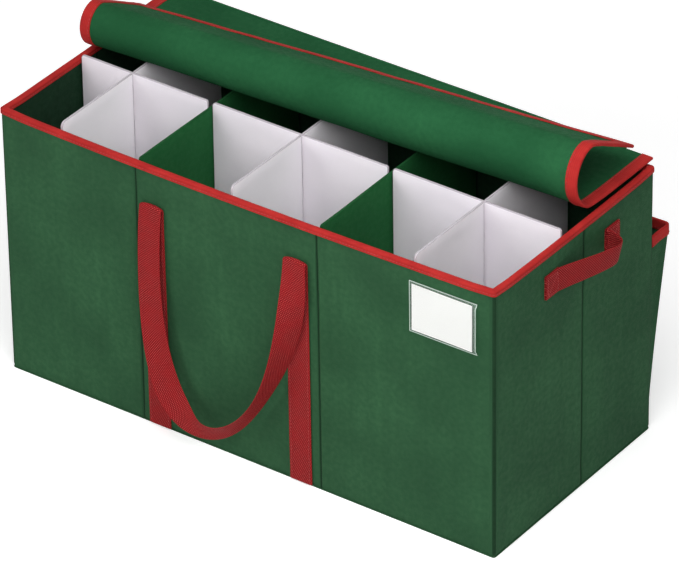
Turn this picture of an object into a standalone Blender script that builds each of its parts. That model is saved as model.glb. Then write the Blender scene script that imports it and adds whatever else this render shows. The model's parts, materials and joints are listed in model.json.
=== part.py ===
"""A collapsible fabric storage box for figurines, with a roll-up lid, removable dividers and webbing handles.

Metres, +Z up. X runs along the front and Y from front to rear. The origin is under the middle of the base.
"""

import math

import bmesh
import bpy
from mathutils import Matrix, Vector

# Box
BOX_LENGTH = 0.674
BOX_DEPTH = 0.312
BOX_HEIGHT = 0.350
COVER_THICKNESS = 0.0012
BOARD_THICKNESS = 0.003
LINING_THICKNESS = 0.0008
CLEARANCE = 0.0003
SEAM_GAP = 0.002
LEFT_SEAM_SHARE = 0.283
RIGHT_SEAM_SHARE = 0.651
SIDE_SEAM_SHARE = 0.550

# Rim, which dips at each corner of the box
BINDING_THICKNESS = 0.001
BINDING_DROP = 0.008
BINDING_ROOM = 0.0014
RIM_DIP = 0.005
DIP_RUN = 0.035
DIP_STEPS = 5

# Dividers
DIVIDER_THICKNESS = 0.003
DIVIDER_RISE = 0.0035
DIVIDER_PLAY = 0.001
DIVIDER_CORNER = 0.009
SLOT_PLAY = 0.0005
ARC_STEPS = 5
DEEP_PLACE_SHARES = (0.41, 0.51, 0.54)
LONG_PLACE_SHARE = 0.45
SLOT_SHARE = 0.5
FABRIC_DIVIDER_THICKNESS = 0.004
FABRIC_DIVIDER_FALL = 0.004

# Webbing: the sewn straps and the carrying handles that hang from their folds
WEBBING_WIDTH = 0.030
WEBBING_THICKNESS = 0.0016
FOLD_RADIUS = 0.0032
FOLD_DROP = 0.053
FOLD_STEPS = 14
LEFT_STRAP_X = -0.122
RIGHT_STRAP_X = 0.0755
HANDLE_FLOOR_GAP = 0.046
HANDLE_BULGE = 0.025
HANDLE_TILT = math.radians(35)
HANDLE_RINGS = 44
HANDLE_ACROSS_SHARES = (0.0, 0.0, 0.04, 0.14, 0.30, 0.50, 0.69, 0.83, 0.93, 0.98, 1.0)
HANDLE_DROP_SHARES = (0.0, 0.25, 0.60, 0.86, 0.97, 1.0, 0.93, 0.76, 0.48, 0.21, 0.0)
HANDLE_OUT_SHARES = (0.0, 0.10, 0.30, 0.62, 0.88, 1.0, 0.88, 0.66, 0.36, 0.12, 0.0)

# Side handles
SIDE_HANDLE_DROP = 0.045
SIDE_HANDLE_SPAN = 0.096
SIDE_HANDLE_PLACE_SHARE = 0.53
SIDE_TAB_LENGTH = 0.024
SIDE_BULGE = 0.028
SIDE_DROOP = 0.005
SIDE_RINGS = 20

# Label pocket on the front, open at its right-hand end
LABEL_LENGTH = 0.093
LABEL_HEIGHT = 0.067
LABEL_RIM_GAP = 0.0275
LABEL_END_GAP = 0.017
FILM_THICKNESS = 0.0005
WELD_WIDTH = 0.0026
CARD_LENGTH = 0.083
CARD_HEIGHT = 0.060
CARD_THICKNESS = 0.0006
CARD_GAP = 0.0015

# Rear pockets
POCKET_THICKNESS = 0.0012
POCKET_DEPTH = 0.037
POCKET_FOOT_HEIGHT = 0.040
POCKET_RIM_GAP = 0.0975
POCKET_BRIM = 0.013
POCKET_END_GAP = 0.003
POCKET_STRAP_GAP = 0.012
CUT_OVERRUN = 0.004

# Lid: slats that curl up from the rear edge; the curl is slimmer at its left-hand end
LID_END_GAP = 0.006
LID_OVERHANG = 0.008
LID_THICKNESS = 0.002
LID_GAP = 0.0009
LID_RAISE = 0.0055
LID_EDGE_WIDTH = 0.016
LID_EDGE_THICKNESS = 0.003
TAPE_THICKNESS = 0.001
TAPE_BEAD_RADIUS = 0.0022
TAPE_DROP = 0.009
RIGHT_CREASE_SHARES = (0.369, 0.426, 0.481, 0.534, 0.585, 0.634, 0.681, 0.726)
LEFT_CREASE_SHARES = (0.463, 0.502, 0.540, 0.578, 0.614, 0.649, 0.683, 0.716)
CREASE_TURNS = (26.2,) * 8

# Levels and half sizes that follow from the values above
STACK = COVER_THICKNESS + BOARD_THICKNESS + LINING_THICKNESS + 2 * CLEARANCE
HALF_LENGTH = BOX_LENGTH / 2
HALF_DEPTH = BOX_DEPTH / 2
BASE_BOARD_BOTTOM = COVER_THICKNESS + CLEARANCE
WALL_BOTTOM = BASE_BOARD_BOTTOM + BOARD_THICKNESS + CLEARANCE
FLOOR_TOP = WALL_BOTTOM + LINING_THICKNESS
DIVIDER_BOTTOM = FLOOR_TOP + CLEARANCE
DIVIDER_TOP = BOX_HEIGHT + DIVIDER_RISE
BINDING_REACH = CLEARANCE + BINDING_THICKNESS
LEFT_SEAM = BOX_LENGTH * LEFT_SEAM_SHARE - HALF_LENGTH
RIGHT_SEAM = BOX_LENGTH * RIGHT_SEAM_SHARE - HALF_LENGTH
SIDE_SEAM = BOX_DEPTH * SIDE_SEAM_SHARE - HALF_DEPTH
LONG_DIVIDER_Y = BOX_DEPTH * LONG_PLACE_SHARE - HALF_DEPTH
LID_PIVOT_Y = HALF_DEPTH + BINDING_REACH + CLEARANCE + TAPE_BEAD_RADIUS
LID_PIVOT_Z = BOX_HEIGHT + LID_RAISE
LID_WIDTH = BOX_LENGTH - 2 * LID_END_GAP
LID_LENGTH = LID_PIVOT_Y + HALF_DEPTH + BINDING_REACH + LID_OVERHANG
SIDE_HANDLE_Y = BOX_DEPTH * SIDE_HANDLE_PLACE_SHARE - HALF_DEPTH
SIDE_HANDLE_HEIGHT = BOX_HEIGHT - SIDE_HANDLE_DROP
FOLD_HEIGHT = BOX_HEIGHT - FOLD_DROP
HANDLE_DROP = FOLD_HEIGHT - HANDLE_FLOOR_GAP
LABEL_MIDDLE_HEIGHT = BOX_HEIGHT - LABEL_RIM_GAP - LABEL_HEIGHT / 2
POCKET_TOP_HEIGHT = BOX_HEIGHT - POCKET_RIM_GAP


def channel(value):
    """One display colour channel, 0 to 255, as linear light."""
    share = value / 255
    return share / 12.92 if share <= 0.04045 else ((share + 0.055) / 1.055) ** 2.4


def finish(name, red, green, blue, roughness, alpha=1.0):
    material = bpy.data.materials.new(name)
    material.use_nodes = True
    shader = material.node_tree.nodes["Principled BSDF"]
    colour = (channel(red), channel(green), channel(blue), 1.0)
    shader.inputs["Base Color"].default_value = colour
    shader.inputs["Roughness"].default_value = roughness
    shader.inputs["Metallic"].default_value = 0.0
    shader.inputs["Alpha"].default_value = alpha
    material.diffuse_color = colour
    return material


def add_mesh(name, points, faces, material, pivot=(0, 0, 0)):
    """One closed solid, from points in world space. The object's origin is at the pivot."""
    pivot = Vector(pivot)
    mesh = bpy.data.meshes.new(name)
    mesh.from_pydata([Vector(point) - pivot for point in points], [], faces)
    shape = bmesh.new()
    shape.from_mesh(mesh)
    bmesh.ops.recalc_face_normals(shape, faces=shape.faces)
    shape.to_mesh(mesh)
    shape.free()
    solid = bpy.data.objects.new(name, mesh)
    solid.location = pivot
    solid.data.materials.append(material)
    bpy.context.scene.collection.objects.link(solid)
    return solid


def shade_round(solid):
    solid.data.shade_smooth()
    solid.data.set_sharp_from_angle(angle=math.radians(40))


def add_sweep(name, rings, material, pivot=(0, 0, 0), closed=False):
    """A solid through rings of points, capped at both ends or joined end to end."""
    size = len(rings[0])
    points = [point for ring in rings for point in ring]
    faces = []
    for index in range(len(rings) if closed else len(rings) - 1):
        here = index * size
        after = (index + 1) % len(rings) * size
        for corner in range(size):
            beside = (corner + 1) % size
            faces.append((here + corner, here + beside, after + beside, after + corner))
    if not closed:
        faces.append(tuple(range(size)))
        faces.append(tuple(range(len(points) - size, len(points))))
    return add_mesh(name, points, faces, material, pivot)


def add_box(name, low, high, material, pivot=(0, 0, 0)):
    rings = []
    for z in (low[2], high[2]):
        rings.append([(low[0], low[1], z), (high[0], low[1], z), (high[0], high[1], z), (low[0], high[1], z)])
    return add_sweep(name, rings, material, pivot)


def add_along_y(name, outline, near, far, material, pivot=(0, 0, 0)):
    """An outline of (x, z) points, extruded from one y to another."""
    rings = [[(x, y, z) for x, z in outline] for y in (near, far)]
    return add_sweep(name, rings, material, pivot)


def add_along_x(name, outline, near, far, material, pivot=(0, 0, 0)):
    """An outline of (y, z) points, extruded from one x to another."""
    rings = [[(x, y, z) for y, z in outline] for x in (near, far)]
    return add_sweep(name, rings, material, pivot)


def cut(solid, cutter):
    """Takes the cutter out of the solid, and keeps the cutter as a hidden guide."""
    cutter.hide_render = True
    cutter.display_type = "WIRE"
    removal = solid.modifiers.new("cut", "BOOLEAN")
    removal.operation = "DIFFERENCE"
    removal.solver = "EXACT"
    removal.object = cutter


def rim_fall(place, half_size):
    """How far the rim lies below the box's height at a place along a wall, measured from the wall's middle."""
    from_corner = half_size - STACK / 2 - abs(place)
    return RIM_DIP * min(1, max(0, 1 - from_corner / DIP_RUN)) ** 2


def dip_places(half_size):
    """The places along a wall where its top edge bends, from its low end to its high end."""
    high = [half_size - STACK / 2 - DIP_RUN * step / DIP_STEPS for step in range(1, DIP_STEPS + 1)]
    return [-place for place in high] + high[::-1]


def wall_outline(start, end, bottom, half_size):
    """A panel's outline, (place along the wall, height), with its top under the rim's binding."""
    bends = [place for place in dip_places(half_size) if start < place < end]
    top = []
    for place in [start, *bends, end]:
        top.append((place, BOX_HEIGHT - BINDING_THICKNESS - BINDING_ROOM - rim_fall(place, half_size)))
    return [(start, bottom), (end, bottom), *reversed(top)]


def make_base(cover, board, lining):
    add_box("base_cover", (-HALF_LENGTH, -HALF_DEPTH, 0), (HALF_LENGTH, HALF_DEPTH, COVER_THICKNESS), cover)
    inset = COVER_THICKNESS + CLEARANCE
    low = (inset - HALF_LENGTH, inset - HALF_DEPTH, BASE_BOARD_BOTTOM)
    high = (HALF_LENGTH - inset, HALF_DEPTH - inset, BASE_BOARD_BOTTOM + BOARD_THICKNESS)
    add_box("base_board", low, high, board)
    inset = STACK + CLEARANCE
    low = (inset - HALF_LENGTH, inset - HALF_DEPTH, WALL_BOTTOM)
    high = (HALF_LENGTH - inset, HALF_DEPTH - inset, FLOOR_TOP)
    add_box("base_lining", low, high, lining)


def make_long_wall(side, outward, cover, board, lining):
    """The front wall, where outward is -1, or the rear wall, where it is 1: a cover, three boards and a lining."""
    outer = outward * HALF_DEPTH
    inner = outer - outward * COVER_THICKNESS
    outline = wall_outline(-HALF_LENGTH, HALF_LENGTH, BASE_BOARD_BOTTOM, HALF_LENGTH)
    add_along_y(side + "_cover", outline, outer, inner, cover)
    reach = HALF_LENGTH - COVER_THICKNESS - CLEARANCE
    outer = inner - outward * CLEARANCE
    inner = outer - outward * BOARD_THICKNESS
    spans = {
        "left": (-reach, LEFT_SEAM - SEAM_GAP / 2),
        "middle": (LEFT_SEAM + SEAM_GAP / 2, RIGHT_SEAM - SEAM_GAP / 2),
        "right": (RIGHT_SEAM + SEAM_GAP / 2, reach),
    }
    for place, (start, end) in spans.items():
        outline = wall_outline(start, end, WALL_BOTTOM, HALF_LENGTH)
        add_along_y(side + "_board_" + place, outline, outer, inner, board)
    reach = HALF_LENGTH - STACK + LINING_THICKNESS
    outer = inner - outward * CLEARANCE
    inner = outer - outward * LINING_THICKNESS
    outline = wall_outline(-reach, reach, WALL_BOTTOM, HALF_LENGTH)
    add_along_y(side + "_lining", outline, outer, inner, lining)


def make_short_wall(side, outward, cover, board, lining):
    """The left wall, where outward is -1, or the right wall, where it is 1: a cover, two boards and a lining."""
    outer = outward * HALF_LENGTH
    inner = outer - outward * COVER_THICKNESS
    reach = HALF_DEPTH - COVER_THICKNESS - CLEARANCE
    outline = wall_outline(-reach, reach, BASE_BOARD_BOTTOM, HALF_DEPTH)
    add_along_x(side + "_cover", outline, outer, inner, cover)
    reach = HALF_DEPTH - STACK + LINING_THICKNESS
    outer = inner - outward * CLEARANCE
    inner = outer - outward * BOARD_THICKNESS
    spans = {"front": (-reach, SIDE_SEAM - SEAM_GAP / 2), "rear": (SIDE_SEAM + SEAM_GAP / 2, reach)}
    for place, (start, end) in spans.items():
        outline = wall_outline(start, end, WALL_BOTTOM, HALF_DEPTH)
        add_along_x(side + "_board_" + place, outline, outer, inner, board)
    reach = HALF_DEPTH - STACK - CLEARANCE
    outer = inner - outward * CLEARANCE
    inner = outer - outward * LINING_THICKNESS
    outline = wall_outline(-reach, reach, WALL_BOTTOM, HALF_DEPTH)
    add_along_x(side + "_lining", outline, outer, inner, lining)


def binding_ring(middle, across, top, core, drop):
    """One ring of an upside-down U that straddles an edge. Across points from its inner leg to its outer leg."""
    inner = core / 2 + CLEARANCE
    outer = inner + BINDING_THICKNESS
    profile = [
        (-outer, -drop),
        (-outer, 0),
        (outer, 0),
        (outer, -drop),
        (inner, -drop),
        (inner, -BINDING_THICKNESS),
        (-inner, -BINDING_THICKNESS),
        (-inner, -drop),
    ]
    return [middle + across * offset + Vector((0, 0, top + rise)) for offset, rise in profile]


def make_rim_binding(red):
    """The red tape round the box's rim, mitred and dipped at its corners."""
    half_x = HALF_LENGTH - STACK / 2
    half_y = HALF_DEPTH - STACK / 2
    sides = [
        (Vector((1, 0, 0)), Vector((0, -1, 0)), half_x, half_y, HALF_LENGTH),
        (Vector((0, 1, 0)), Vector((1, 0, 0)), half_y, half_x, HALF_DEPTH),
        (Vector((-1, 0, 0)), Vector((0, 1, 0)), half_x, half_y, HALF_LENGTH),
        (Vector((0, -1, 0)), Vector((-1, 0, 0)), half_y, half_x, HALF_DEPTH),
    ]
    rings = []
    for along, outward, reach, distance, half_size in sides:
        corner = outward * distance - along * reach
        rings.append(binding_ring(corner, outward - along, BOX_HEIGHT - RIM_DIP, STACK, BINDING_DROP))
        for place in dip_places(half_size):
            top = BOX_HEIGHT - rim_fall(place, half_size)
            rings.append(binding_ring(outward * distance + along * place, outward, top, STACK, BINDING_DROP))
    add_sweep("rim_binding", rings, red, closed=True)


def rounded_top(start, end, bottom, top, radius):
    """A plate's outline from its lower right corner up and over to its lower left one."""
    outline = [(end, bottom)]
    for step in range(ARC_STEPS + 1):
        angle = math.pi / 2 * step / ARC_STEPS
        outline.append((end - radius + radius * math.cos(angle), top - radius + radius * math.sin(angle)))
    for step in range(ARC_STEPS + 1):
        angle = math.pi / 2 * (1 + step / ARC_STEPS)
        outline.append((start + radius + radius * math.cos(angle), top - radius + radius * math.sin(angle)))
    outline.append((start, bottom))
    return outline


def slot_points(place, edge, depth_height):
    """The four corners of a slot that runs from an edge's height to another height, from right to left."""
    half = DIVIDER_THICKNESS / 2 + SLOT_PLAY
    return [(place + half, edge), (place + half, depth_height), (place - half, depth_height), (place - half, edge)]


def cell_spans():
    """The clear lengths between the end linings and the fabric dividers, from left to right."""
    wall = HALF_LENGTH - STACK
    half = FABRIC_DIVIDER_THICKNESS / 2
    return [(-wall, LEFT_SEAM - half), (LEFT_SEAM + half, RIGHT_SEAM - half), (RIGHT_SEAM + half, wall)]


def deep_divider_places():
    spans = cell_spans()
    return [start + (end - start) * share for (start, end), share in zip(spans, DEEP_PLACE_SHARES)]


def make_dividers(white, green):
    """Fabric dividers at the front seams, and slotted boards that cross between them."""
    slot_height = DIVIDER_BOTTOM + (DIVIDER_TOP - DIVIDER_BOTTOM) * SLOT_SHARE
    reach = HALF_DEPTH - STACK - BINDING_REACH - CLEARANCE
    half = FABRIC_DIVIDER_THICKNESS / 2
    for place, x in (("left", LEFT_SEAM), ("right", RIGHT_SEAM)):
        low = (x - half, -reach, DIVIDER_BOTTOM)
        high = (x + half, reach, BOX_HEIGHT - FABRIC_DIVIDER_FALL)
        add_box("fabric_divider_" + place, low, high, green)
    reach = HALF_DEPTH - STACK - BINDING_REACH - DIVIDER_PLAY
    half = DIVIDER_THICKNESS / 2
    names = ("left", "middle", "right")
    for name, (start, end), x in zip(names, cell_spans(), deep_divider_places()):
        outline = rounded_top(-reach, reach, DIVIDER_BOTTOM, DIVIDER_TOP, DIVIDER_CORNER)
        corner = len(outline) // 2
        slot = slot_points(LONG_DIVIDER_Y, DIVIDER_TOP, slot_height - CLEARANCE)
        outline = outline[:corner] + slot + outline[corner:]
        add_along_x("deep_divider_" + name, outline, x - half, x + half, white)
        start += DIVIDER_PLAY + (BINDING_REACH if name == "left" else 0)
        end -= DIVIDER_PLAY + (BINDING_REACH if name == "right" else 0)
        outline = rounded_top(start, end, DIVIDER_BOTTOM, DIVIDER_TOP, DIVIDER_CORNER)
        outline += reversed(slot_points(x, DIVIDER_BOTTOM, slot_height + CLEARANCE))
        pivot = (x, LONG_DIVIDER_Y, DIVIDER_BOTTOM)
        near = LONG_DIVIDER_Y - half
        add_along_y("long_divider_" + name, outline, near, near + DIVIDER_THICKNESS, white, pivot)


def folded_outline(face, outward, thickness, radius, bottom, fold_height):
    """The (y, z) outline of a strip that stands on a face and ends in a round fold, which a hinge line runs through."""
    middle = face + outward * (CLEARANCE + radius)
    first = math.atan2(-math.sqrt(radius**2 - (radius - thickness) ** 2), thickness - radius)
    outline = [(face + outward * CLEARANCE, bottom), (face + outward * (CLEARANCE + thickness), bottom)]
    for step in range(FOLD_STEPS + 1):
        angle = first + (math.pi - first) * step / FOLD_STEPS
        outline.append((middle + outward * radius * math.cos(angle), fold_height + radius * math.sin(angle)))
    return outline


def make_straps(side, outward, webbing):
    """The two sewn straps of one long wall, from the bottom seam up to the folds that carry the handle."""
    bottom = COVER_THICKNESS + CLEARANCE
    outline = folded_outline(outward * HALF_DEPTH, outward, WEBBING_THICKNESS, FOLD_RADIUS, bottom, FOLD_HEIGHT)
    half = WEBBING_WIDTH / 2
    for place, x in (("left", LEFT_STRAP_X), ("right", RIGHT_STRAP_X)):
        shade_round(add_along_x(f"{side}_strap_{place}", outline, x - half, x + half, webbing))


def spline_point(points, share):
    """A point on the smooth curve through the points, at a share of the way along their list."""
    place = share * (len(points) - 1)
    first = min(int(place), len(points) - 2)
    t = place - first
    before = points[max(first - 1, 0)]
    start, end = points[first], points[first + 1]
    after = points[min(first + 2, len(points) - 1)]
    bend = (before * 2 - start * 5 + end * 4 - after) * t**2 + (start * 3 - before - end * 3 + after) * t**3
    return (start * 2 + (end - before) * t + bend) / 2


def ribbon_rings(middles, across, thickness, width):
    """Four-cornered rings along a ribbon. Across holds the direction of its width at each middle."""
    rings = []
    for index, middle in enumerate(middles):
        ahead = middles[min(index + 1, len(middles) - 1)]
        behind = middles[max(index - 1, 0)]
        along = (ahead - behind).normalized()
        wide = (across[index] - along * across[index].dot(along)).normalized()
        half_wide = wide * width / 2
        half_thick = along.cross(wide) * thickness / 2
        ring = [half_wide + half_thick, half_thick - half_wide, -half_wide - half_thick, half_wide - half_thick]
        rings.append([middle + corner for corner in ring])
    return rings


def trim_ends(rings, axis, first, last):
    """Brings the corners of a ribbon's two end rings to given places along one axis, so that its ends are square."""
    for ring, place in ((rings[0], first), (rings[-1], last)):
        for corner in ring:
            corner[axis] = place


def carrying_handle_line(outward):
    """The hinge line of a carrying handle, as its middle point, on the folds of the two straps."""
    y = outward * (HALF_DEPTH + CLEARANCE + FOLD_RADIUS)
    return Vector(((LEFT_STRAP_X + RIGHT_STRAP_X) / 2, y, FOLD_HEIGHT))


def handle_curve(outward):
    """The points that a carrying handle's middle line passes through, from its left fold to its right one."""
    pivot = carrying_handle_line(outward)
    start = FOLD_RADIUS + CLEARANCE
    points = []
    for across, drop, out in zip(HANDLE_ACROSS_SHARES, HANDLE_DROP_SHARES, HANDLE_OUT_SHARES):
        x = LEFT_STRAP_X + (RIGHT_STRAP_X - LEFT_STRAP_X) * across
        y = pivot.y + outward * HANDLE_BULGE * out
        points.append(Vector((x, y, FOLD_HEIGHT - start - (HANDLE_DROP - start) * drop)))
    return points


def make_carrying_handle(side, outward, webbing):
    """A webbing loop that hangs flat from its folds and turns on edge at the bottom."""
    curve = handle_curve(outward)
    middles, across = [], []
    for index in range(HANDLE_RINGS + 1):
        share = index / HANDLE_RINGS
        middles.append(spline_point(curve, share))
        turn = math.pi * share * share * (3 - 2 * share)
        edge = Vector((0, outward * math.cos(HANDLE_TILT), math.sin(HANDLE_TILT)))
        across.append(Vector((1, 0, 0)) * math.cos(turn) + edge * math.sin(turn))
    rings = ribbon_rings(middles, across, WEBBING_THICKNESS, WEBBING_WIDTH)
    trim_ends(rings, 2, curve[0].z, curve[-1].z)
    shade_round(add_sweep(side + "_handle", rings, webbing, carrying_handle_line(outward)))


def side_handle_line(outward):
    """The middle of a side handle's hinge line, along its upper edge where it meets the wall."""
    x = outward * (HALF_LENGTH + CLEARANCE)
    return Vector((x, SIDE_HANDLE_Y, SIDE_HANDLE_HEIGHT + WEBBING_WIDTH / 2))


def make_side_handle(side, outward, webbing):
    """A grab handle on an end wall: two sewn tabs, and the webbing that bows out between them."""
    wall = outward * (HALF_LENGTH + CLEARANCE)
    skin = wall + outward * WEBBING_THICKNESS
    half = SIDE_HANDLE_SPAN / 2 + CLEARANCE
    low = SIDE_HANDLE_HEIGHT - WEBBING_WIDTH / 2
    tabs = {"front": SIDE_HANDLE_Y - half - SIDE_TAB_LENGTH, "rear": SIDE_HANDLE_Y + half}
    for place, near in tabs.items():
        corner = (wall, near, low)
        beyond = (skin, near + SIDE_TAB_LENGTH, low + WEBBING_WIDTH)
        add_box(f"{side}_tab_{place}", corner, beyond, webbing)
    middles = []
    for index in range(SIDE_RINGS + 1):
        share = index / SIDE_RINGS
        swell = math.sin(math.pi * share)
        x = wall + outward * (WEBBING_THICKNESS / 2 + SIDE_BULGE * swell)
        y = SIDE_HANDLE_Y + SIDE_HANDLE_SPAN * (share - 1 / 2)
        middles.append(Vector((x, y, SIDE_HANDLE_HEIGHT - SIDE_DROOP * swell)))
    rings = ribbon_rings(middles, [Vector((0, 0, 1))] * len(middles), WEBBING_THICKNESS, WEBBING_WIDTH)
    trim_ends(rings, 1, middles[0].y, middles[-1].y)
    for ring in (rings[0], rings[-1]):
        for corner in ring:
            thick = abs(corner.x - outward * HALF_LENGTH) > CLEARANCE + WEBBING_THICKNESS / 2
            corner.x = skin if thick else wall
    shade_round(add_sweep(side + "_handle", rings, webbing, side_handle_line(outward)))


def make_label(film, paper):
    """A clear pocket welded to the front on three sides, and the card that slides out at its right-hand end."""
    right = HALF_LENGTH - LABEL_END_GAP
    left = right - LABEL_LENGTH
    low = LABEL_MIDDLE_HEIGHT - LABEL_HEIGHT / 2
    high = LABEL_MIDDLE_HEIGHT + LABEL_HEIGHT / 2
    back = -HALF_DEPTH - CLEARANCE
    hollow = 2 * CLEARANCE + CARD_THICKNESS
    pocket = add_box("label_pocket", (left, back - hollow - FILM_THICKNESS, low), (right, back, high), film)
    room_low = (left + WELD_WIDTH, back - hollow, low + WELD_WIDTH)
    room_high = (right + CUT_OVERRUN, back + CUT_OVERRUN, high - WELD_WIDTH)
    cut(pocket, add_box("label_room", room_low, room_high, film))
    start = left + WELD_WIDTH + CARD_GAP
    card_low = (start, back - CLEARANCE - CARD_THICKNESS, LABEL_MIDDLE_HEIGHT - CARD_HEIGHT / 2)
    card_high = (start + CARD_LENGTH, back - CLEARANCE, LABEL_MIDDLE_HEIGHT + CARD_HEIGHT / 2)
    add_box("label_card", card_low, card_high, paper, card_low)


def pocket_spans():
    """The two rear pockets' ends, clear of the rear straps."""
    half = WEBBING_WIDTH / 2 + POCKET_STRAP_GAP
    end = HALF_LENGTH - POCKET_END_GAP
    return {"left": (-end, LEFT_STRAP_X - half), "right": (RIGHT_STRAP_X + half, end)}


def make_rear_pockets(cover, red):
    """Two open pockets on the rear wall, wide at the brim and sewn shut at the foot, with a bound edge."""
    face = HALF_DEPTH + CLEARANCE
    front = face + POCKET_DEPTH
    knee = POCKET_TOP_HEIGHT - POCKET_BRIM
    outer = [
        (face, POCKET_FOOT_HEIGHT),
        (front, knee),
        (front, POCKET_TOP_HEIGHT),
        (face, POCKET_TOP_HEIGHT),
    ]
    slope = (knee - POCKET_FOOT_HEIGHT) / POCKET_DEPTH
    inner_foot = POCKET_FOOT_HEIGHT + slope * (POCKET_THICKNESS - CUT_OVERRUN)
    top = POCKET_TOP_HEIGHT + CUT_OVERRUN
    room = [
        (face - CUT_OVERRUN, inner_foot),
        (front - POCKET_THICKNESS, knee),
        (front - POCKET_THICKNESS, top),
        (face - CUT_OVERRUN, top),
    ]
    for place, (start, end) in pocket_spans().items():
        pocket = add_along_x("rear_pocket_" + place, outer, start, end, cover)
        cutter = add_along_x("pocket_room_" + place, room, start + POCKET_THICKNESS, end - POCKET_THICKNESS, cover)
        cut(pocket, cutter)
        make_pocket_binding(place, start, end, face, front, red)


def make_pocket_binding(place, start, end, face, front, red):
    """The red tape over a rear pocket's brim, along its two gussets and its front."""
    half = POCKET_THICKNESS / 2
    top = POCKET_TOP_HEIGHT + CLEARANCE + BINDING_THICKNESS
    drop = POCKET_BRIM - CLEARANCE
    wall = face + CLEARANCE
    stations = [
        (Vector((start + half, wall, 0)), Vector((-1, 0, 0))),
        (Vector((start + half, front - half, 0)), Vector((-1, 1, 0))),
        (Vector((end - half, front - half, 0)), Vector((1, 1, 0))),
        (Vector((end - half, wall, 0)), Vector((1, 0, 0))),
    ]
    rings = [binding_ring(middle, across, top, POCKET_THICKNESS, drop) for middle, across in stations]
    add_sweep("pocket_binding_" + place, rings, red)


def make_hinge_tape(green):
    """The tape along the rear rim, whose round bead is the line that the lid turns on."""
    outline = folded_outline(
        HALF_DEPTH + BINDING_REACH, 1, TAPE_THICKNESS, TAPE_BEAD_RADIUS, BOX_HEIGHT - TAPE_DROP, LID_PIVOT_Z
    )
    reach = HALF_LENGTH - STACK - DIP_RUN
    shade_round(add_along_x("lid_hinge_tape", outline, -reach, reach, green))


def lid_point(x, along, rise=0.0):
    """A point of the lid laid flat: along is its distance from the hinge line, towards the front."""
    return Vector((x, LID_PIVOT_Y - along, LID_PIVOT_Z + rise))


def crease(index):
    """A crease's two ends on the flat lid, left and right."""
    left = lid_point(-LID_WIDTH / 2, LID_LENGTH * LEFT_CREASE_SHARES[index])
    right = lid_point(LID_WIDTH / 2, LID_LENGTH * RIGHT_CREASE_SHARES[index])
    return left, right


def crease_turn(index, turn):
    """The turn about one crease of the flat lid that lifts what lies in front of it."""
    left, right = crease(index)
    spin = Matrix.Rotation(turn, 4, left - right)
    return Matrix.Translation(left) @ spin @ Matrix.Translation(-left)


def slat_places():
    """For each slat, how its flat shape moves into the curled lid."""
    places = [Matrix.Identity(4)]
    for index, turn in enumerate(CREASE_TURNS):
        places.append(places[-1] @ crease_turn(index, math.radians(turn)))
    return places


def slat_rings(near, far, thickness, place):
    """A slat's near and far ends, each given by its distance from the hinge line at the left and at the right."""
    half = LID_WIDTH / 2
    rings = []
    for left, right in (near, far):
        ring = [(-half, left, -1), (half, right, -1), (half, right, 1), (-half, left, 1)]
        rings.append([place @ lid_point(x, along, side * thickness / 2) for x, along, side in ring])
    return rings


def make_lid(green, red):
    """The lid's slats in their curl, from the hinge tape to the bound free edge."""
    creases = [(LID_LENGTH * left, LID_LENGTH * right) for left, right in zip(LEFT_CREASE_SHARES, RIGHT_CREASE_SHARES)]
    root = TAPE_BEAD_RADIUS + CLEARANCE
    tip = LID_LENGTH - LID_EDGE_WIDTH
    places = slat_places()
    pivots = [lid_point(0, 0)]
    for index in range(len(creases)):
        left, right = crease(index)
        pivots.append(places[index] @ ((left + right) / 2))
    starts = [(root, root)] + [(left + LID_GAP / 2, right + LID_GAP / 2) for left, right in creases]
    ends = [(left - LID_GAP / 2, right - LID_GAP / 2) for left, right in creases] + [(tip, tip)]
    for index, (near, far) in enumerate(zip(starts, ends)):
        rings = slat_rings(near, far, LID_THICKNESS, places[index])
        add_sweep(f"lid_slat_{index}", rings, green, pivots[index])
    near = (tip + CLEARANCE, tip + CLEARANCE)
    rings = slat_rings(near, (LID_LENGTH, LID_LENGTH), LID_EDGE_THICKNESS, places[-1])
    add_sweep("lid_edge_binding", rings, red, pivots[-1])


def main():
    for existing in list(bpy.data.objects):
        bpy.data.objects.remove(existing, do_unlink=True)
    green = finish("green_fabric", 52, 94, 64, 0.85)
    lining = finish("lining_fabric", 26, 50, 36, 0.9)
    red = finish("red_binding", 178, 44, 46, 0.7)
    webbing = finish("red_webbing", 186, 46, 56, 0.75)
    white = finish("white_board", 213, 208, 213, 0.8)
    board = finish("grey_board", 150, 138, 120, 0.9)
    film = finish("clear_film", 235, 240, 240, 0.1, alpha=0.35)
    paper = finish("card_paper", 244, 243, 240, 0.7)
    make_base(green, board, lining)
    for side, outward in (("front", -1), ("rear", 1)):
        make_long_wall(side, outward, green, board, lining)
        make_straps(side, outward, webbing)
        make_carrying_handle(side, outward, webbing)
    for side, outward in (("left", -1), ("right", 1)):
        make_short_wall(side, outward, green, board, lining)
        make_side_handle(side, outward, webbing)
    make_rim_binding(red)
    make_dividers(white, green)
    make_label(film, paper)
    make_rear_pockets(green, red)
    make_hinge_tape(green)
    make_lid(green, red)


main()
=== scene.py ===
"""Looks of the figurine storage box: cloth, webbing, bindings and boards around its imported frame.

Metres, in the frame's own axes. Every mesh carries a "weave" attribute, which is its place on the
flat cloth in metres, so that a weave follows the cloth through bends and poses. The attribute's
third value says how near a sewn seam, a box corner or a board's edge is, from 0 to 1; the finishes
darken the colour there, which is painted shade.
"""

import json
import math

import bmesh
import bpy
import numpy as np
from mathutils import Matrix, Vector, noise

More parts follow.
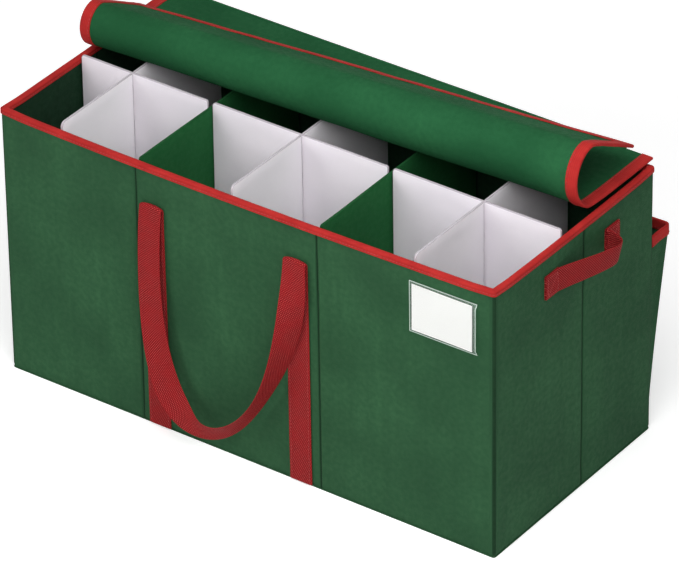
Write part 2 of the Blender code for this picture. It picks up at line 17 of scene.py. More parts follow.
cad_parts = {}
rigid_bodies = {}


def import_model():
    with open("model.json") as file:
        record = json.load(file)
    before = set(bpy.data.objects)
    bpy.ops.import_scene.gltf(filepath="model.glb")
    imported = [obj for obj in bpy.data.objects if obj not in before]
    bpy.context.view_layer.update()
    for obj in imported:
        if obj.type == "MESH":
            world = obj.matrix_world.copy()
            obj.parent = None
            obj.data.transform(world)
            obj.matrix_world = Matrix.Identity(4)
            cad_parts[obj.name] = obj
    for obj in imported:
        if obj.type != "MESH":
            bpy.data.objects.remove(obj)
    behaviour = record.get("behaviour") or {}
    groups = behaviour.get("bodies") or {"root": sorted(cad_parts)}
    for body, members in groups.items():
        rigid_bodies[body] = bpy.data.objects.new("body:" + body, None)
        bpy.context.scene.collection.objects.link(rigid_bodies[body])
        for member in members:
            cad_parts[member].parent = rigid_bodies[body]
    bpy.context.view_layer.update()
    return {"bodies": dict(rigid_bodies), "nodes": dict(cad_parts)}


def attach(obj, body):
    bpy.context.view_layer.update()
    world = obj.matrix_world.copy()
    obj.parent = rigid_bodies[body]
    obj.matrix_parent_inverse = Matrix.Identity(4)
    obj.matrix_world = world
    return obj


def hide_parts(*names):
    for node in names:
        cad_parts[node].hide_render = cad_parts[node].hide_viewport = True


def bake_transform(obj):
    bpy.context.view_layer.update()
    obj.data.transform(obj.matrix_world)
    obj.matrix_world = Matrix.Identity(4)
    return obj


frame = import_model()
for spare in list(bpy.data.objects):
    if spare not in frame["nodes"].values() and spare not in frame["bodies"].values():
        bpy.data.objects.remove(spare)

# Box, as in the part's source
BOX_LENGTH, BOX_DEPTH, BOX_HEIGHT = 0.674, 0.312, 0.350
HALF_LENGTH, HALF_DEPTH = BOX_LENGTH / 2, BOX_DEPTH / 2
STACK, CLEARANCE = 0.0056, 0.0003
COVER, LINING = 0.0012, 0.0008
LEFT_SEAM, RIGHT_SEAM, SIDE_SEAM = -0.14626, 0.10177, 0.0156
BINDING_REACH, BINDING_DROP = 0.0013, 0.0068
DIP_RUN = 0.035
FLOOR_TOP = 0.0056
DIVIDER_BOTTOM, DIVIDER_TOP = 0.0059, 0.3535

# Webbing
WEB_WIDTH, WEB_THICKNESS = 0.030, 0.0016
FOLD_HEIGHT, FOLD_RADIUS = 0.297, 0.0024
STRAP_X = (-0.122, 0.0755)
# A carrying loop is a cubic curve between its folds, with two pull points. Each turn of its cloth has an
# angle, a place along the curve and a width.
LOOP_DROP = 0.26
LOOP_ACROSS, LOOP_FALL = (-0.09, 1.12), (1.67, 0.90)
LOOP_BULGE = (0.018, 0.026)
LOOP_TURNS = ((math.radians(-34), 0.27, 0.12), (math.radians(78), 0.70, 0.24))
# The rear loop bulges and turns less, so it clears the lid when it stands up.
REAR_BULGE, REAR_TURN = 0.6, 0.5
GRAB_Y, GRAB_Z, GRAB_SPAN, GRAB_TAB = 0.00936, 0.305, 0.096, 0.024
GRAB_ALONG = (0.0, 0.014, 0.034, 0.056, 0.075, 0.087, 0.0945, 0.0965, 0.096)
GRAB_OUT = (0.0, 0.0036, 0.0092, 0.0152, 0.0195, 0.0208, 0.0172, 0.0076, 0.0)
GRAB_DROOP, GRAB_LEAN = 0.005, math.radians(13)

# Label
LABEL_LEFT, LABEL_RIGHT, LABEL_LOW, LABEL_HIGH = 0.2262, 0.3153, 0.2605, 0.3265
CARD_LEFT, CARD_RIGHT, CARD_LOW, CARD_HIGH = 0.2300, 0.3092, 0.2638, 0.3228

# Lid
LID_WIDTH, LID_LENGTH = 0.662, 0.3251
LID_PIVOT_Y, LID_PIVOT_Z = 0.1598, 0.3555
LEFT_CREASES = (0.463, 0.502, 0.540, 0.578, 0.614, 0.649, 0.683, 0.716)
RIGHT_CREASES = (0.369, 0.426, 0.481, 0.534, 0.585, 0.634, 0.681, 0.726)
CREASE_TURN = math.radians(26.2)
LID_THICKNESS = 0.002


def smooth(value):
    value = min(1.0, max(0.0, value))
    return value * value * (3 - 2 * value)


def bell(distance, width):
    return math.exp(-((distance / width) ** 2))


def grain(*place):
    """Smooth noise from -1 to 1 that is the same each run."""
    return noise.noise(Vector(place))


# Meshes


class Piece:
    """One piece's points, faces and cloth coordinates, gathered part by part."""

    def __init__(self):
        self.points, self.faces, self.weave, self.slots = [], [], [], []
        self.rings, self.cloth = [], []

    def add(self, points, faces, weave, slot=0):
        start = len(self.points)
        self.points.extend(tuple(point) for point in points)
        self.weave.extend(tuple(place) if len(place) == 3 else (*place, 0.0) for place in weave)
        self.faces.extend(tuple(start + corner for corner in face) for face in faces)
        self.slots.extend([slot] * len(faces))

    def ring(self, outside, inside, cloth):
        """The next section of a sweep: both faces in the same order, and their cloth coordinates."""
        self.rings.append(outside + inside[::-1])
        self.cloth.append(cloth + cloth[::-1])

    def sweep(self, closed=False, slot=0):
        """A solid through the sections gathered so far, which closes round or ends with quads."""
        rings, weave, self.rings, self.cloth = self.rings, self.cloth, [], []
        size, count = len(rings[0]), len(rings)
        faces = []
        for index in range(count if closed else count - 1):
            here, after = index * size, (index + 1) % count * size
            for corner in range(size):
                beside = (corner + 1) % size
                faces.append((here + corner, here + beside, after + beside, after + corner))
        if not closed:
            for start in (0, (count - 1) * size):
                for corner in range(size // 2 - 1):
                    far = start + size - 1 - corner
                    faces.append((start + corner, start + corner + 1, far - 1, far))
        self.add([p for ring in rings for p in ring], faces, [w for ring in weave for w in ring], slot)

    def stitches(self, route, normals, slot, pitch=0.0042, length=0.0028, radius=0.00042):
        """A row of sewn stitches along a route of points that lies on the cloth."""
        route, normals = np.array(route, float), np.array(normals, float)
        steps = np.linalg.norm(np.diff(route, axis=0), axis=1)
        places = np.concatenate(([0], np.cumsum(steps)))

        def at(values, place):
            return Vector([np.interp(place, places, values[:, axis]) for axis in range(3)])

        for index in range(int(places[-1] / pitch)):
            middle = (index + 0.5) * pitch
            start, end = at(route, middle - length / 2), at(route, middle + length / 2)
            normal = at(normals, middle).normalized()
            along = (end - start).normalized()
            side = along.cross(normal).normalized()
            points = []
            for share, size in ((0, 0.35), (0.22, 1), (0.78, 1), (1, 0.35)):
                centre = start.lerp(end, share) + normal * radius * 0.25
                for turn in range(6):
                    angle = math.tau * turn / 6
                    away = side * math.cos(angle) + normal * math.sin(angle)
                    points.append(centre + away * radius * size)
            faces = [tuple(range(6)), tuple(range(18, 24))]
            for ring in range(3):
                for turn in range(6):
                    beside = (turn + 1) % 6
                    here, after = ring * 6, ring * 6 + 6
                    faces.append((here + turn, here + beside, after + beside, after + turn))
            self.add(points, faces, [(middle, 0.0)] * 24, slot)

    def stitch_rows(self, rows, pitch=0.0042):
        """Rows of stitches in the second material, from lists of points with their normals."""
        for row in rows:
            self.stitches([point for point, _ in row], [normal for _, normal in row], 1, pitch)

    def make(self, name, *materials, sharp=50):
        data = bpy.data.meshes.new(name)
        data.from_pydata(self.points, [], self.faces)
        for material in materials:
            data.materials.append(material)
        data.polygons.foreach_set("material_index", self.slots)
        attribute = data.attributes.new("weave", "FLOAT_VECTOR", "POINT")
        attribute.data.foreach_set("vector", np.array(self.weave, np.float32).ravel())
        shape = bmesh.new()
        shape.from_mesh(data)
        bmesh.ops.recalc_face_normals(shape, faces=shape.faces)
        shape.to_mesh(data)
        shape.free()
        data.shade_smooth()
        data.set_sharp_from_angle(angle=math.radians(sharp))
        made = bpy.data.objects.new(name, data)
        bpy.context.scene.collection.objects.link(made)
        return made


def settle(made, body, slot, *nodes):
    """A piece that rides on one body and stands for CAD nodes, which it hides; slot, its finish from the
    record, is not used.
    """
    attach(made, body)
    if nodes:
        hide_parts(*nodes)
    return made


def facing(route):
    """The direction of travel at each point of a route."""
    ends = [(route[max(i - 1, 0)], route[min(i + 1, len(route) - 1)]) for i in range(len(route))]
    return [(after - before).normalized() for before, after in ends]


def strip(piece, middles, across, width, thickness, columns, slot=0, droops=None):
    """A flat strip with rounded edges along a route. Across holds the direction of its width at each point,
    and droops how far its edges hang there. It returns the strip's length."""
    along_cloth = 0.0
    tangents = facing(middles)
    for index, middle in enumerate(middles):
        along = tangents[index]
        wide = (across[index] - along * across[index].dot(along)).normalized()
        normal = along.cross(wide)
        if index:
            along_cloth += (middle - middles[index - 1]).length
        top, bottom, cloth = [], [], []
        for column in range(columns):
            share = math.sin(math.pi * (column / (columns - 1) - 0.5))
            half = thickness / 2 * max(0.25, (1 - abs(share) ** 6) ** 0.5)
            place = middle + wide * share * width / 2
            if droops:
                place.z -= droops[index] * share**2
            top.append(place + normal * half)
            bottom.append(place - normal * half)
            cloth.append((along_cloth, share * width / 2))
        piece.ring(top, bottom, cloth)
    piece.sweep(slot=slot)
    return along_cloth


# Materials


def linear(value):
    share = value / 255
    return share / 12.92 if share <= 0.04045 else ((share + 0.055) / 1.055) ** 2.4


def colour(red, green, blue):
    return (linear(red), linear(green), linear(blue), 1.0)


class Finish:
    """A Principled material and short ways to build its nodes."""

    def __init__(self, name, roughness, sheen=0.0, sheen_tint=(1, 1, 1, 1), specular=0.5):
        self.material = bpy.data.materials.new(name)
        self.material.use_nodes = True
        self.tree = self.material.node_tree
        self.shader = self.tree.nodes["Principled BSDF"]
        self.shader.inputs["Roughness"].default_value = roughness
        self.shader.inputs["Sheen Weight"].default_value = sheen
        self.shader.inputs["Sheen Roughness"].default_value = 0.4
        self.shader.inputs["Sheen Tint"].default_value = sheen_tint
        self.shader.inputs["Specular IOR Level"].default_value = specular
        attribute = self.node("ShaderNodeAttribute", attribute_name="weave")
        self.cloth = attribute.outputs["Vector"]
        split = self.node("ShaderNodeSeparateXYZ", {"Vector": self.cloth})
        self.along, self.across, self.seam = split.outputs

    def feed(self, socket, value):
        if isinstance(value, bpy.types.NodeSocket):
            self.tree.links.new(value, socket)
        else:
            socket.default_value = value

    def node(self, kind, inputs=None, **settings):
        made = self.tree.nodes.new(kind)
        for key, value in settings.items():
            setattr(made, key, value)
        for key, value in (inputs or {}).items():
            self.feed(made.inputs[key], value)
        return made

    def math(self, operation, *values):
        made = self.node("ShaderNodeMath", operation=operation)
        for socket, value in zip(made.inputs, values):
            self.feed(socket, value)
        return made.outputs[0]

    def mix(self, share, first, second):
        made = self.node("ShaderNodeMix", data_type="RGBA")
        for socket, value in zip((made.inputs[0], made.inputs[6], made.inputs[7]), (share, first, second)):
            self.feed(socket, value)
        return made.outputs[2]

    def tint(self, base, toward, mask, strength):
        """The base drawn toward another colour where a mask is bright."""
        return self.mix(self.math("MULTIPLY", mask, strength), base, toward)

    def spots(self, scale, detail=3.0, low=0.35, high=0.65, stretch=(1, 1, 1)):
        """Cloudy noise on the cloth, from 0 to 1. Scale is in spots per metre."""
        scaled = self.node("ShaderNodeMapping", {"Vector": self.cloth, "Scale": stretch})
        made = self.node("ShaderNodeTexNoise", {"Vector": scaled.outputs[0], "Scale": scale, "Detail": detail})
        levels = {"Value": made.outputs[0], "From Min": low, "From Max": high}
        return self.node("ShaderNodeMapRange", levels).outputs[0]

    def plain_weave(self, pitch):
        """The height of a plain weave, from 0 to 1: threads that pass over and under each other."""
        u = self.math("DIVIDE", self.along, pitch)
        v = self.math("DIVIDE", self.across, pitch)
        cell = self.math("ADD", self.math("FLOOR", u), self.math("FLOOR", v))
        over = self.math("ABSOLUTE", self.math("MODULO", cell, 2.0))
        wave_u = self.math("ABSOLUTE", self.math("SINE", self.math("MULTIPLY", u, math.pi)))
        wave_v = self.math("ABSOLUTE", self.math("SINE", self.math("MULTIPLY", v, math.pi)))
        warp = self.math("MULTIPLY", wave_u, self.math("MULTIPLY_ADD", wave_v, 0.5, 0.5))
        weft = self.math("MULTIPLY", wave_v, self.math("MULTIPLY_ADD", wave_u, 0.5, 0.5))
        chosen = self.math("MULTIPLY", over, self.math("SUBTRACT", warp, weft))
        return self.math("ADD", weft, chosen)

    def bump(self, height, distance, strength=1.0, under=None):
        inputs = {"Height": height, "Distance": distance, "Strength": strength}
        if under is not None:
            inputs["Normal"] = under
        return self.node("ShaderNodeBump", inputs).outputs[0]

    def end(self, base, normal=None, roughness=None):
        self.feed(self.shader.inputs["Base Color"], base)
        if normal is not None:
            self.feed(self.shader.inputs["Normal"], normal)
        if roughness is not None:
            self.feed(self.shader.inputs["Roughness"], roughness)
        return self.material


def woven(name, light, dark, deep, pitch=0.0009, sheen=0.06, roughness=0.7, streaks=0.3, specular=0.12):
    """Woven polyester: thread relief, slubs, upright streaks, cloudy shade and soft creases in the relief."""
    finish = Finish(name, roughness, sheen, light, specular)
    finish.shader.inputs["IOR"].default_value = 1.3
    weave = finish.plain_weave(pitch)
    clouds = finish.spots(9.0, 4.0)
    mottle = finish.spots(160.0, 2.0)
    slubs = finish.spots(60.0, 3.0, 0.5, 0.75, (1, 14, 1))
    pull = finish.spots(90.0, 3.0, 0.3, 0.7, (1, 0.06, 1))
    base = finish.tint(light, dark, clouds, 0.7)
    base = finish.tint(base, dark, mottle, 0.28)
    base = finish.tint(base, light, slubs, 0.2)
    base = finish.tint(base, dark, pull, streaks)
    # Where the threads dip under each other the colour is drawn toward the deep tone: painted shade between
    # the threads.
    base = finish.tint(base, deep, finish.math("SUBTRACT", 1.0, weave), 0.5)
    # Near seams, box corners and board edges the cloth is drawn toward near-black: painted shade.
    base = finish.tint(base, colour(7, 20, 12), finish.seam, 0.85)
    creases = finish.bump(finish.spots(45.0, 4.0, 0.3, 0.7), 0.0009, 0.3)
    pulled = finish.bump(pull, 0.0004, 0.3, creases)
    relief = finish.bump(weave, 0.00022, 0.8, pulled)
    shine = finish.math("MULTIPLY_ADD", mottle, 0.14, roughness - 0.07)
    return finish.end(base, relief, shine)


def webbing(name, light, dark, deep, pitch=0.0028, half_width=0.015):
    """Twill webbing: slanting ribs broken into floats, painted highlights on them, painted shade in the deep
    gaps, tight edges.
    """
    finish = Finish(name, 0.66, 0.03, light, 0.12)
    finish.shader.inputs["IOR"].default_value = 1.3
    away = finish.math("ABSOLUTE", finish.across)
    slant = finish.math("MULTIPLY_ADD", finish.across, 0.9, finish.along)
    phase = finish.math("MULTIPLY", slant, math.tau / pitch)
    ribs = finish.math("MULTIPLY_ADD", finish.math("SINE", phase), 0.5, 0.5)
    lean = finish.math("MULTIPLY_ADD", finish.along, -0.45, finish.across)
    yarn = finish.math("MULTIPLY", lean, math.tau / 0.0022)
    floats = finish.math("MULTIPLY_ADD", finish.math("SINE", yarn), 0.5, 0.5)
    height = finish.math("MULTIPLY", finish.math("MULTIPLY_ADD", floats, 0.75, 0.25), ribs)
    worn = finish.spots(70.0, 3.0)
    # The low places between ribs and floats take the deep tone, which is painted shade, and the floats' tips
    # take the light tone, which is a painted highlight.
    base = finish.mix(finish.math("POWER", height, 0.8), deep, dark)
    float_highlight = finish.math("POWER", finish.math("MULTIPLY", floats, ribs), 2.3)
    base = finish.mix(float_highlight, base, light)
    base = finish.tint(base, dark, worn, 0.4)
    levels = {"Value": away, "From Min": half_width * 0.86, "From Max": half_width, "To Max": 0.5}
    base = finish.mix(finish.node("ShaderNodeMapRange", levels).outputs[0], base, dark)
    return finish.end(base, finish.bump(height, 0.0007, 1.0))


def tape(name, light, dark, deep, pitch=0.0011):
    """Bias tape: a fine rib across the tape and puckers from the sewing."""
    finish = Finish(name, 0.7, 0.04, light, 0.15)
    finish.shader.inputs["IOR"].default_value = 1.35
    weave = finish.plain_weave(pitch)
    puckers = finish.spots(130.0, 2.0, 0.3, 0.7, (1, 0.25, 1))
    shade = finish.spots(28.0, 4.0)
    base = finish.tint(light, dark, shade, 0.7)
    base = finish.tint(base, dark, puckers, 0.25)
    # The low places of the weave are drawn toward the deep tone: painted shade between the threads.
    base = finish.tint(base, deep, finish.math("SUBTRACT", 1.0, weave), 0.4)
    soft = finish.bump(puckers, 0.0007, 0.5)
    relief = finish.bump(weave, 0.0002, 0.7, soft)
    return finish.end(base, relief)


def thread(name, light, dark):
    finish = Finish(name, 0.55, 0.2, light, 0.5)
    twist = finish.math("SINE", finish.math("MULTIPLY", finish.along, math.tau / 0.0006))
    base = finish.mix(finish.math("MULTIPLY_ADD", twist, 0.3, 0.4), light, dark)
    return finish.end(base, finish.bump(twist, 0.0001, 0.5))


def felted(name, light, dark):
    """The pale nonwoven cloth of the boards: short fibres, faint marks and soft clouds."""
    finish = Finish(name, 0.82, 0.2, light, 0.3)
    fibres = finish.spots(900.0, 3.0, 0.3, 0.7, (1, 0.5, 1))
    clouds = finish.spots(7.0, 4.0)
    marks = finish.spots(55.0, 5.0, 0.58, 0.8)
    base = finish.tint(light, dark, clouds, 0.55)
    base = finish.tint(base, dark, fibres, 0.16)
    base = finish.tint(base, dark, marks, 0.2)
    # The board's edges are drawn toward grey: painted shade that tones down the light on the bevels.
    base = finish.tint(base, colour(150, 142, 150), finish.seam, 1.7)
    soft = finish.bump(clouds, 0.003, 0.35)
    return finish.end(base, finish.bump(fibres, 0.0001, 0.6, soft))


GREEN = woven("green_cloth", colour(58, 103, 69), colour(40, 77, 51), colour(14, 34, 21))
# The lid and the hinge tape are the walls' green cloth, given their own tones to match the light and shade on
# the curled lid: painted light.
LID_LIT_TONES = colour(47, 106, 67), colour(31, 82, 50), colour(10, 34, 21)
LID_LIT_GREEN = woven("lid_cloth", *LID_LIT_TONES, sheen=0.01, streaks=0.15, specular=0.04)
DARK_TONES = colour(36, 68, 46), colour(25, 48, 33), colour(10, 22, 15)
DARK = woven("lining_cloth", *DARK_TONES, pitch=0.0008, sheen=0.03)
PANEL_TONES = colour(44, 110, 62), colour(32, 90, 49), colour(12, 40, 22)
PANEL = woven("divider_cloth", *PANEL_TONES, sheen=0.03, roughness=0.8, streaks=0.05)
WEB = webbing("red_web", colour(226, 104, 98), colour(156, 30, 34), colour(104, 12, 18))
RED = tape("red_tape", colour(192, 50, 46), colour(160, 34, 34), colour(96, 16, 18))
RED_THREAD = thread("red_thread", colour(176, 48, 46), colour(116, 24, 26))
# The deep dividers take a paler copy of the boards' cloth: painted light that lifts their shaded faces.
WHITE = felted("pale_cloth", colour(240, 234, 240), colour(226, 220, 229))
WHITE_LIFTED = felted("pale_cloth_lifted", colour(250, 246, 250), colour(242, 237, 244))


def board_finish():
    finish = Finish("grey_board", 0.9)
    fibres = finish.spots(220.0, 4.0)
    base = finish.mix(fibres, colour(158, 146, 128), colour(132, 120, 104))
    return finish.end(base, finish.bump(fibres, 0.0003))


def paper_finish():
    finish = Finish("card_paper", 0.6, specular=0.4)
    fibres = finish.spots(700.0, 4.0)
    base = finish.tint(colour(233, 232, 230), colour(224, 222, 220), fibres, 0.5)
    return finish.end(base, finish.bump(fibres, 0.00005, 0.5))


def film_finish(name, base, alpha, roughness):
    finish = Finish(name, roughness, specular=0.7)
    ripples = finish.spots(40.0, 2.0)
    finish.shader.inputs["Alpha"].default_value = alpha
    finish.shader.inputs["Coat Weight"].default_value = 0.2
    finish.shader.inputs["Coat Roughness"].default_value = 0.06
    shade = finish.tint(base, colour(206, 214, 214), ripples, 0.3)
    return finish.end(shade, finish.bump(ripples, 0.0009, 0.5))


BOARD = board_finish()
PAPER = paper_finish()
FILM = film_finish("clear_film", colour(226, 236, 230), 0.07, 0.12)
WELD = film_finish("film_weld", colour(196, 218, 204), 0.62, 0.35)
for node in frame["nodes"].values():
    node.data.materials.clear()
    node.data.materials.append(BOARD)

# Walls

# Each side's direction of travel, its outward direction, its half length, its distance and its seams
SIDES = (
    (Vector((1, 0, 0)), Vector((0, -1, 0)), HALF_LENGTH, HALF_DEPTH, (LEFT_SEAM, RIGHT_SEAM)),
    (Vector((0, 1, 0)), Vector((1, 0, 0)), HALF_DEPTH, HALF_LENGTH, (SIDE_SEAM,)),
    (Vector((-1, 0, 0)), Vector((0, 1, 0)), HALF_LENGTH, HALF_DEPTH, (-RIGHT_SEAM, -LEFT_SEAM)),
    (Vector((0, -1, 0)), Vector((-1, 0, 0)), HALF_DEPTH, HALF_LENGTH, (-SIDE_SEAM,)),
)
FRONT, RIGHT, REAR, LEFT = range(4)
CORNER_RADIUS = 0.0036
PANEL_CROWN, WALL_BOW, RIM_SAG, RIM_SLUMP = 0.0010, 0.0016, 0.0032, 0.0012
SEAM_DEPTH, SEAM_WIDTH = 0.0010, 0.0017


def rim_fall(place, half):
    """How far the rim lies below the box's height: the corners stand, and the walls sag between them."""
    slump = RIM_SLUMP * smooth((half - abs(place)) / DIP_RUN)
    skew = 1 - 0.3 * place / half if half == HALF_LENGTH else 0.3
    return slump + RIM_SAG * max(0.0, 1 - (place / half) ** 2) * skew


def bow(side, place, z):
    """How far a wall bows out as a whole, most at its middle and its top."""
    half = SIDES[side][2]
    share = WALL_BOW * (1 if half == HALF_LENGTH else 0.4)
    return share * max(0.0, 1 - (place / half) ** 2) * min(1.0, z / BOX_HEIGHT) ** 2


def swell(side, place, z):
    """How far a wall's cloth stands out from the CAD's flat face at a place along the wall and a height."""
    half, seams = SIDES[side][2], SIDES[side][4]
    marks = [-half, *seams, half]
    panel = next((i for i in range(len(marks) - 1) if place <= marks[i + 1]), len(marks) - 2)
    share = (place - marks[panel]) / (marks[panel + 1] - marks[panel])
    crown = PANEL_CROWN * max(0.0, 1 - abs(2 * share - 1) ** 4)
    crown *= smooth(z / 0.05) * (1 - 0.7 * smooth((z - 0.315) / 0.03))
    near = min(abs(place - seam) for seam in seams)
    groove = -SEAM_DEPTH * bell(near, SEAM_WIDTH) * smooth(z / 0.012)
    pucker = 0.00035 * bell(near, 0.011) * grain(side * 9.0, z * 90.0, place * 20.0)
    wave = 0.0005 * grain(place * 7.0 + side * 5.0, z * 6.0, 2.0) * smooth(min(half - abs(place), z) / 0.03)
    return crown + groove + pucker + wave + bow(side, place, z)


def stations(step, corner_steps=5, radius=CORNER_RADIUS):
    """Places round the box: (side, share of its straight part, angle round the corner, place along it)."""
    found = []
    for side, (_, _, half, _, seams) in enumerate(SIDES):
        straight = half - radius
        count = int(2 * straight / step)
        places = [-straight + 2 * straight * i / count for i in range(count + 1)]
        for seam in seams:
            places = [p for p in places if abs(p - seam) > step * 0.8]
            places += [seam + offset for offset in (-0.0032, -0.0018, -0.0008, 0.0, 0.0008, 0.0018, 0.0032)]
        found += [(side, place / straight, 0.0, place) for place in sorted(places)]
        for turn in range(1, corner_steps):
            found.append((side, 1.0, math.pi / 2 * turn / corner_steps, half))
    return found


def plan(station, offset, radius=CORNER_RADIUS):
    """A point in plan, and its outward direction, at an offset from the walls' outer faces."""
    side, share, angle, _ = station
    along, outward, half, distance, _ = SIDES[side]
    round_by = max(radius + offset, 0.0004)
    centre = outward * (distance + offset - round_by) + along * share * (half + offset - round_by)
    direction = outward * math.cos(angle) + along * math.sin(angle)
    return centre + direction * round_by, direction


def run_lengths(route):
    """The distance along a route at each of its points."""
    total, found = 0.0, [0.0]
    for before, after in zip(route, route[1:]):
        total += (after - before).length
        found.append(total)
    return found


def wall_tube(name, step, levels, outer_offset, inner_offset, follow, material, low):
    """The cloth of all four walls as one closed tube with a thickness."""
    piece = Piece()
    places = stations(step)
    distances = run_lengths([plan(place, 0.0)[0] for place in places])
    for station, distance in zip(places, distances):
        side, _, angle, place = station
        half = SIDES[side][2]
        top = BOX_HEIGHT - 0.0026 - rim_fall(place, half)
        outside, inside, cloth = [], [], []
        for level in range(levels + 1):
            z = low + (top - low) * level / levels
            push = 0.0 if angle else follow(side, place, z)
            tuck = 0.0009 * bell(z - low, 0.0015)
            outside.append(plan(station, outer_offset + push - tuck)[0] + Vector((0, 0, z)))
            inside.append(plan(station, inner_offset + push)[0] + Vector((0, 0, z)))
            # The third value rises near seams and box corners, where the finishes paint shade.
            seam = 0.0 if angle else max(bell(place - mark, 0.0011) for mark in SIDES[side][4])
            corner = 0.7 * bell(half - abs(place), 0.0022) if level else 0.0
            cloth.append((distance, z, max(seam, corner)))
        piece.ring(outside, inside, cloth)
    piece.sweep(closed=True)
    return piece.make(name, material), distances[-1]


def inner_swell(side, place, z):
    seams = SIDES[side][4]
    near = min(abs(place - seam) for seam in seams)
    wave = 0.0004 * grain(place * 9.0 + side * 3.0, z * 8.0, 7.0)
    return 0.0005 * bell(near, 0.0018) + wave + bow(side, place, z)


walls, perimeter = wall_tube("wall_cloth", 0.0042, 84, 0.0, -COVER, swell, GREEN, 0.0014)
settle(walls, "box", "green_fabric", "front_cover", "rear_cover", "left_cover", "right_cover")
inner, inner_length = wall_tube("wall_lining", 0.012, 30, LINING - STACK, -STACK, inner_swell, DARK, FLOOR_TOP)
settle(inner, "box", "lining_fabric", "front_lining", "rear_lining", "left_lining", "right_lining")


def floor_cloth(name, half_x, half_y, low, high, material, radius, lift):
    """A flat panel with rounded corners and slightly puffed cells."""
    piece = Piece()
    count = 60
    for index in range(count + 1):
        x = half_x * math.sin(math.pi * (index / count - 0.5))
        over = max(0.0, abs(x) - (half_x - radius))
        reach = half_y - radius + math.sqrt(max(0.0, radius**2 - over**2))
        top, bottom, cloth = [], [], []
        for column in range(31):
            y = reach * math.sin(math.pi * (column / 30 - 0.5))
            rim = smooth(min(half_x - abs(x), half_y - abs(y)) / 0.012)
            puff = lift * rim * (0.6 + 0.4 * grain(x * 12, y * 12, low))
            top.append(Vector((x, y, high + puff)))
            bottom.append(Vector((x, y, low)))
            cloth.append((x, y))
        piece.ring(top, bottom, cloth)
    piece.sweep()
    return piece.make(name, material)


base = floor_cloth("base_cloth", HALF_LENGTH, HALF_DEPTH, 0.0, 0.0012, GREEN, CORNER_RADIUS, 0.0)
settle(base, "box", "green_fabric", "base_cover")
INNER_X, INNER_Y = HALF_LENGTH - STACK - CLEARANCE, HALF_DEPTH - STACK - CLEARANCE
base_lining = floor_cloth("base_lining_cloth", INNER_X, INNER_Y, 0.0048, 0.0055, DARK, 0.002, 0.0002)
settle(base_lining, "box", "lining_fabric", "base_lining")


# Binding of the rim


def fold_profile(half, rise, drop, thick, arc_steps=8):
    """A folded tape's section as (offset from the edge's middle, height): its outside and its inside."""
    outside, inside = [], []
    for ring, gap in ((outside, 0.0), (inside, thick)):
        reach = half - gap
        for level in (1.0, 0.62, 0.3):
            flare = 0.0002 * level
            ring.append((reach + flare, -drop * level))
        for step in range(arc_steps + 1):
            angle = math.pi * step / arc_steps
            bulge = abs(math.sin(angle)) ** 0.8
            ring.append((reach * math.cos(angle), -rise + (rise - gap) * bulge))
        for level in (0.3, 0.62, 1.0):
            flare = 0.0002 * level
            ring.append((-reach - flare, -drop * level))
    return outside, inside


def rim_binding():
    piece = Piece()
    middle, half = -STACK / 2, STACK / 2 + BINDING_REACH
    places = stations(0.004)
    distances = run_lengths([plan(place, 0.0)[0] for place in places])
    profile = fold_profile(half, 0.0024, BINDING_DROP, 0.0009)
    rows = ([], [])
    cloth_across = np.linspace(-0.012, 0.012, len(profile[0]))
    for station, distance in zip(places, distances):
        side, _, angle, place = station
        push = 0.0 if angle else bow(side, place, BOX_HEIGHT)
        wave = 0.00035 * grain(distance * 30.0, 4.0, 0.0)
        top = BOX_HEIGHT - rim_fall(place, SIDES[side][2]) + 0.5 * wave
        faces = []
        for face in profile:
            faces.append([plan(station, middle + push + a)[0] + Vector((0, 0, top + b)) for a, b in face])
        piece.ring(*faces, [(distance, across) for across in cloth_across])
        for row, sign in zip(rows, (1, -1)):
            height = top - BINDING_DROP + 0.0024
            point, outward = plan(station, middle + push + sign * (half + 0.00015))
            row.append((point + Vector((0, 0, height)), outward * sign))
    piece.sweep(closed=True)
    piece.stitch_rows(rows)
    return piece.make("rim_tape", RED, RED_THREAD), distances[-1]


rim, rim_length = rim_binding()
settle(rim, "box", "red_binding", "rim_binding")


# Dividers


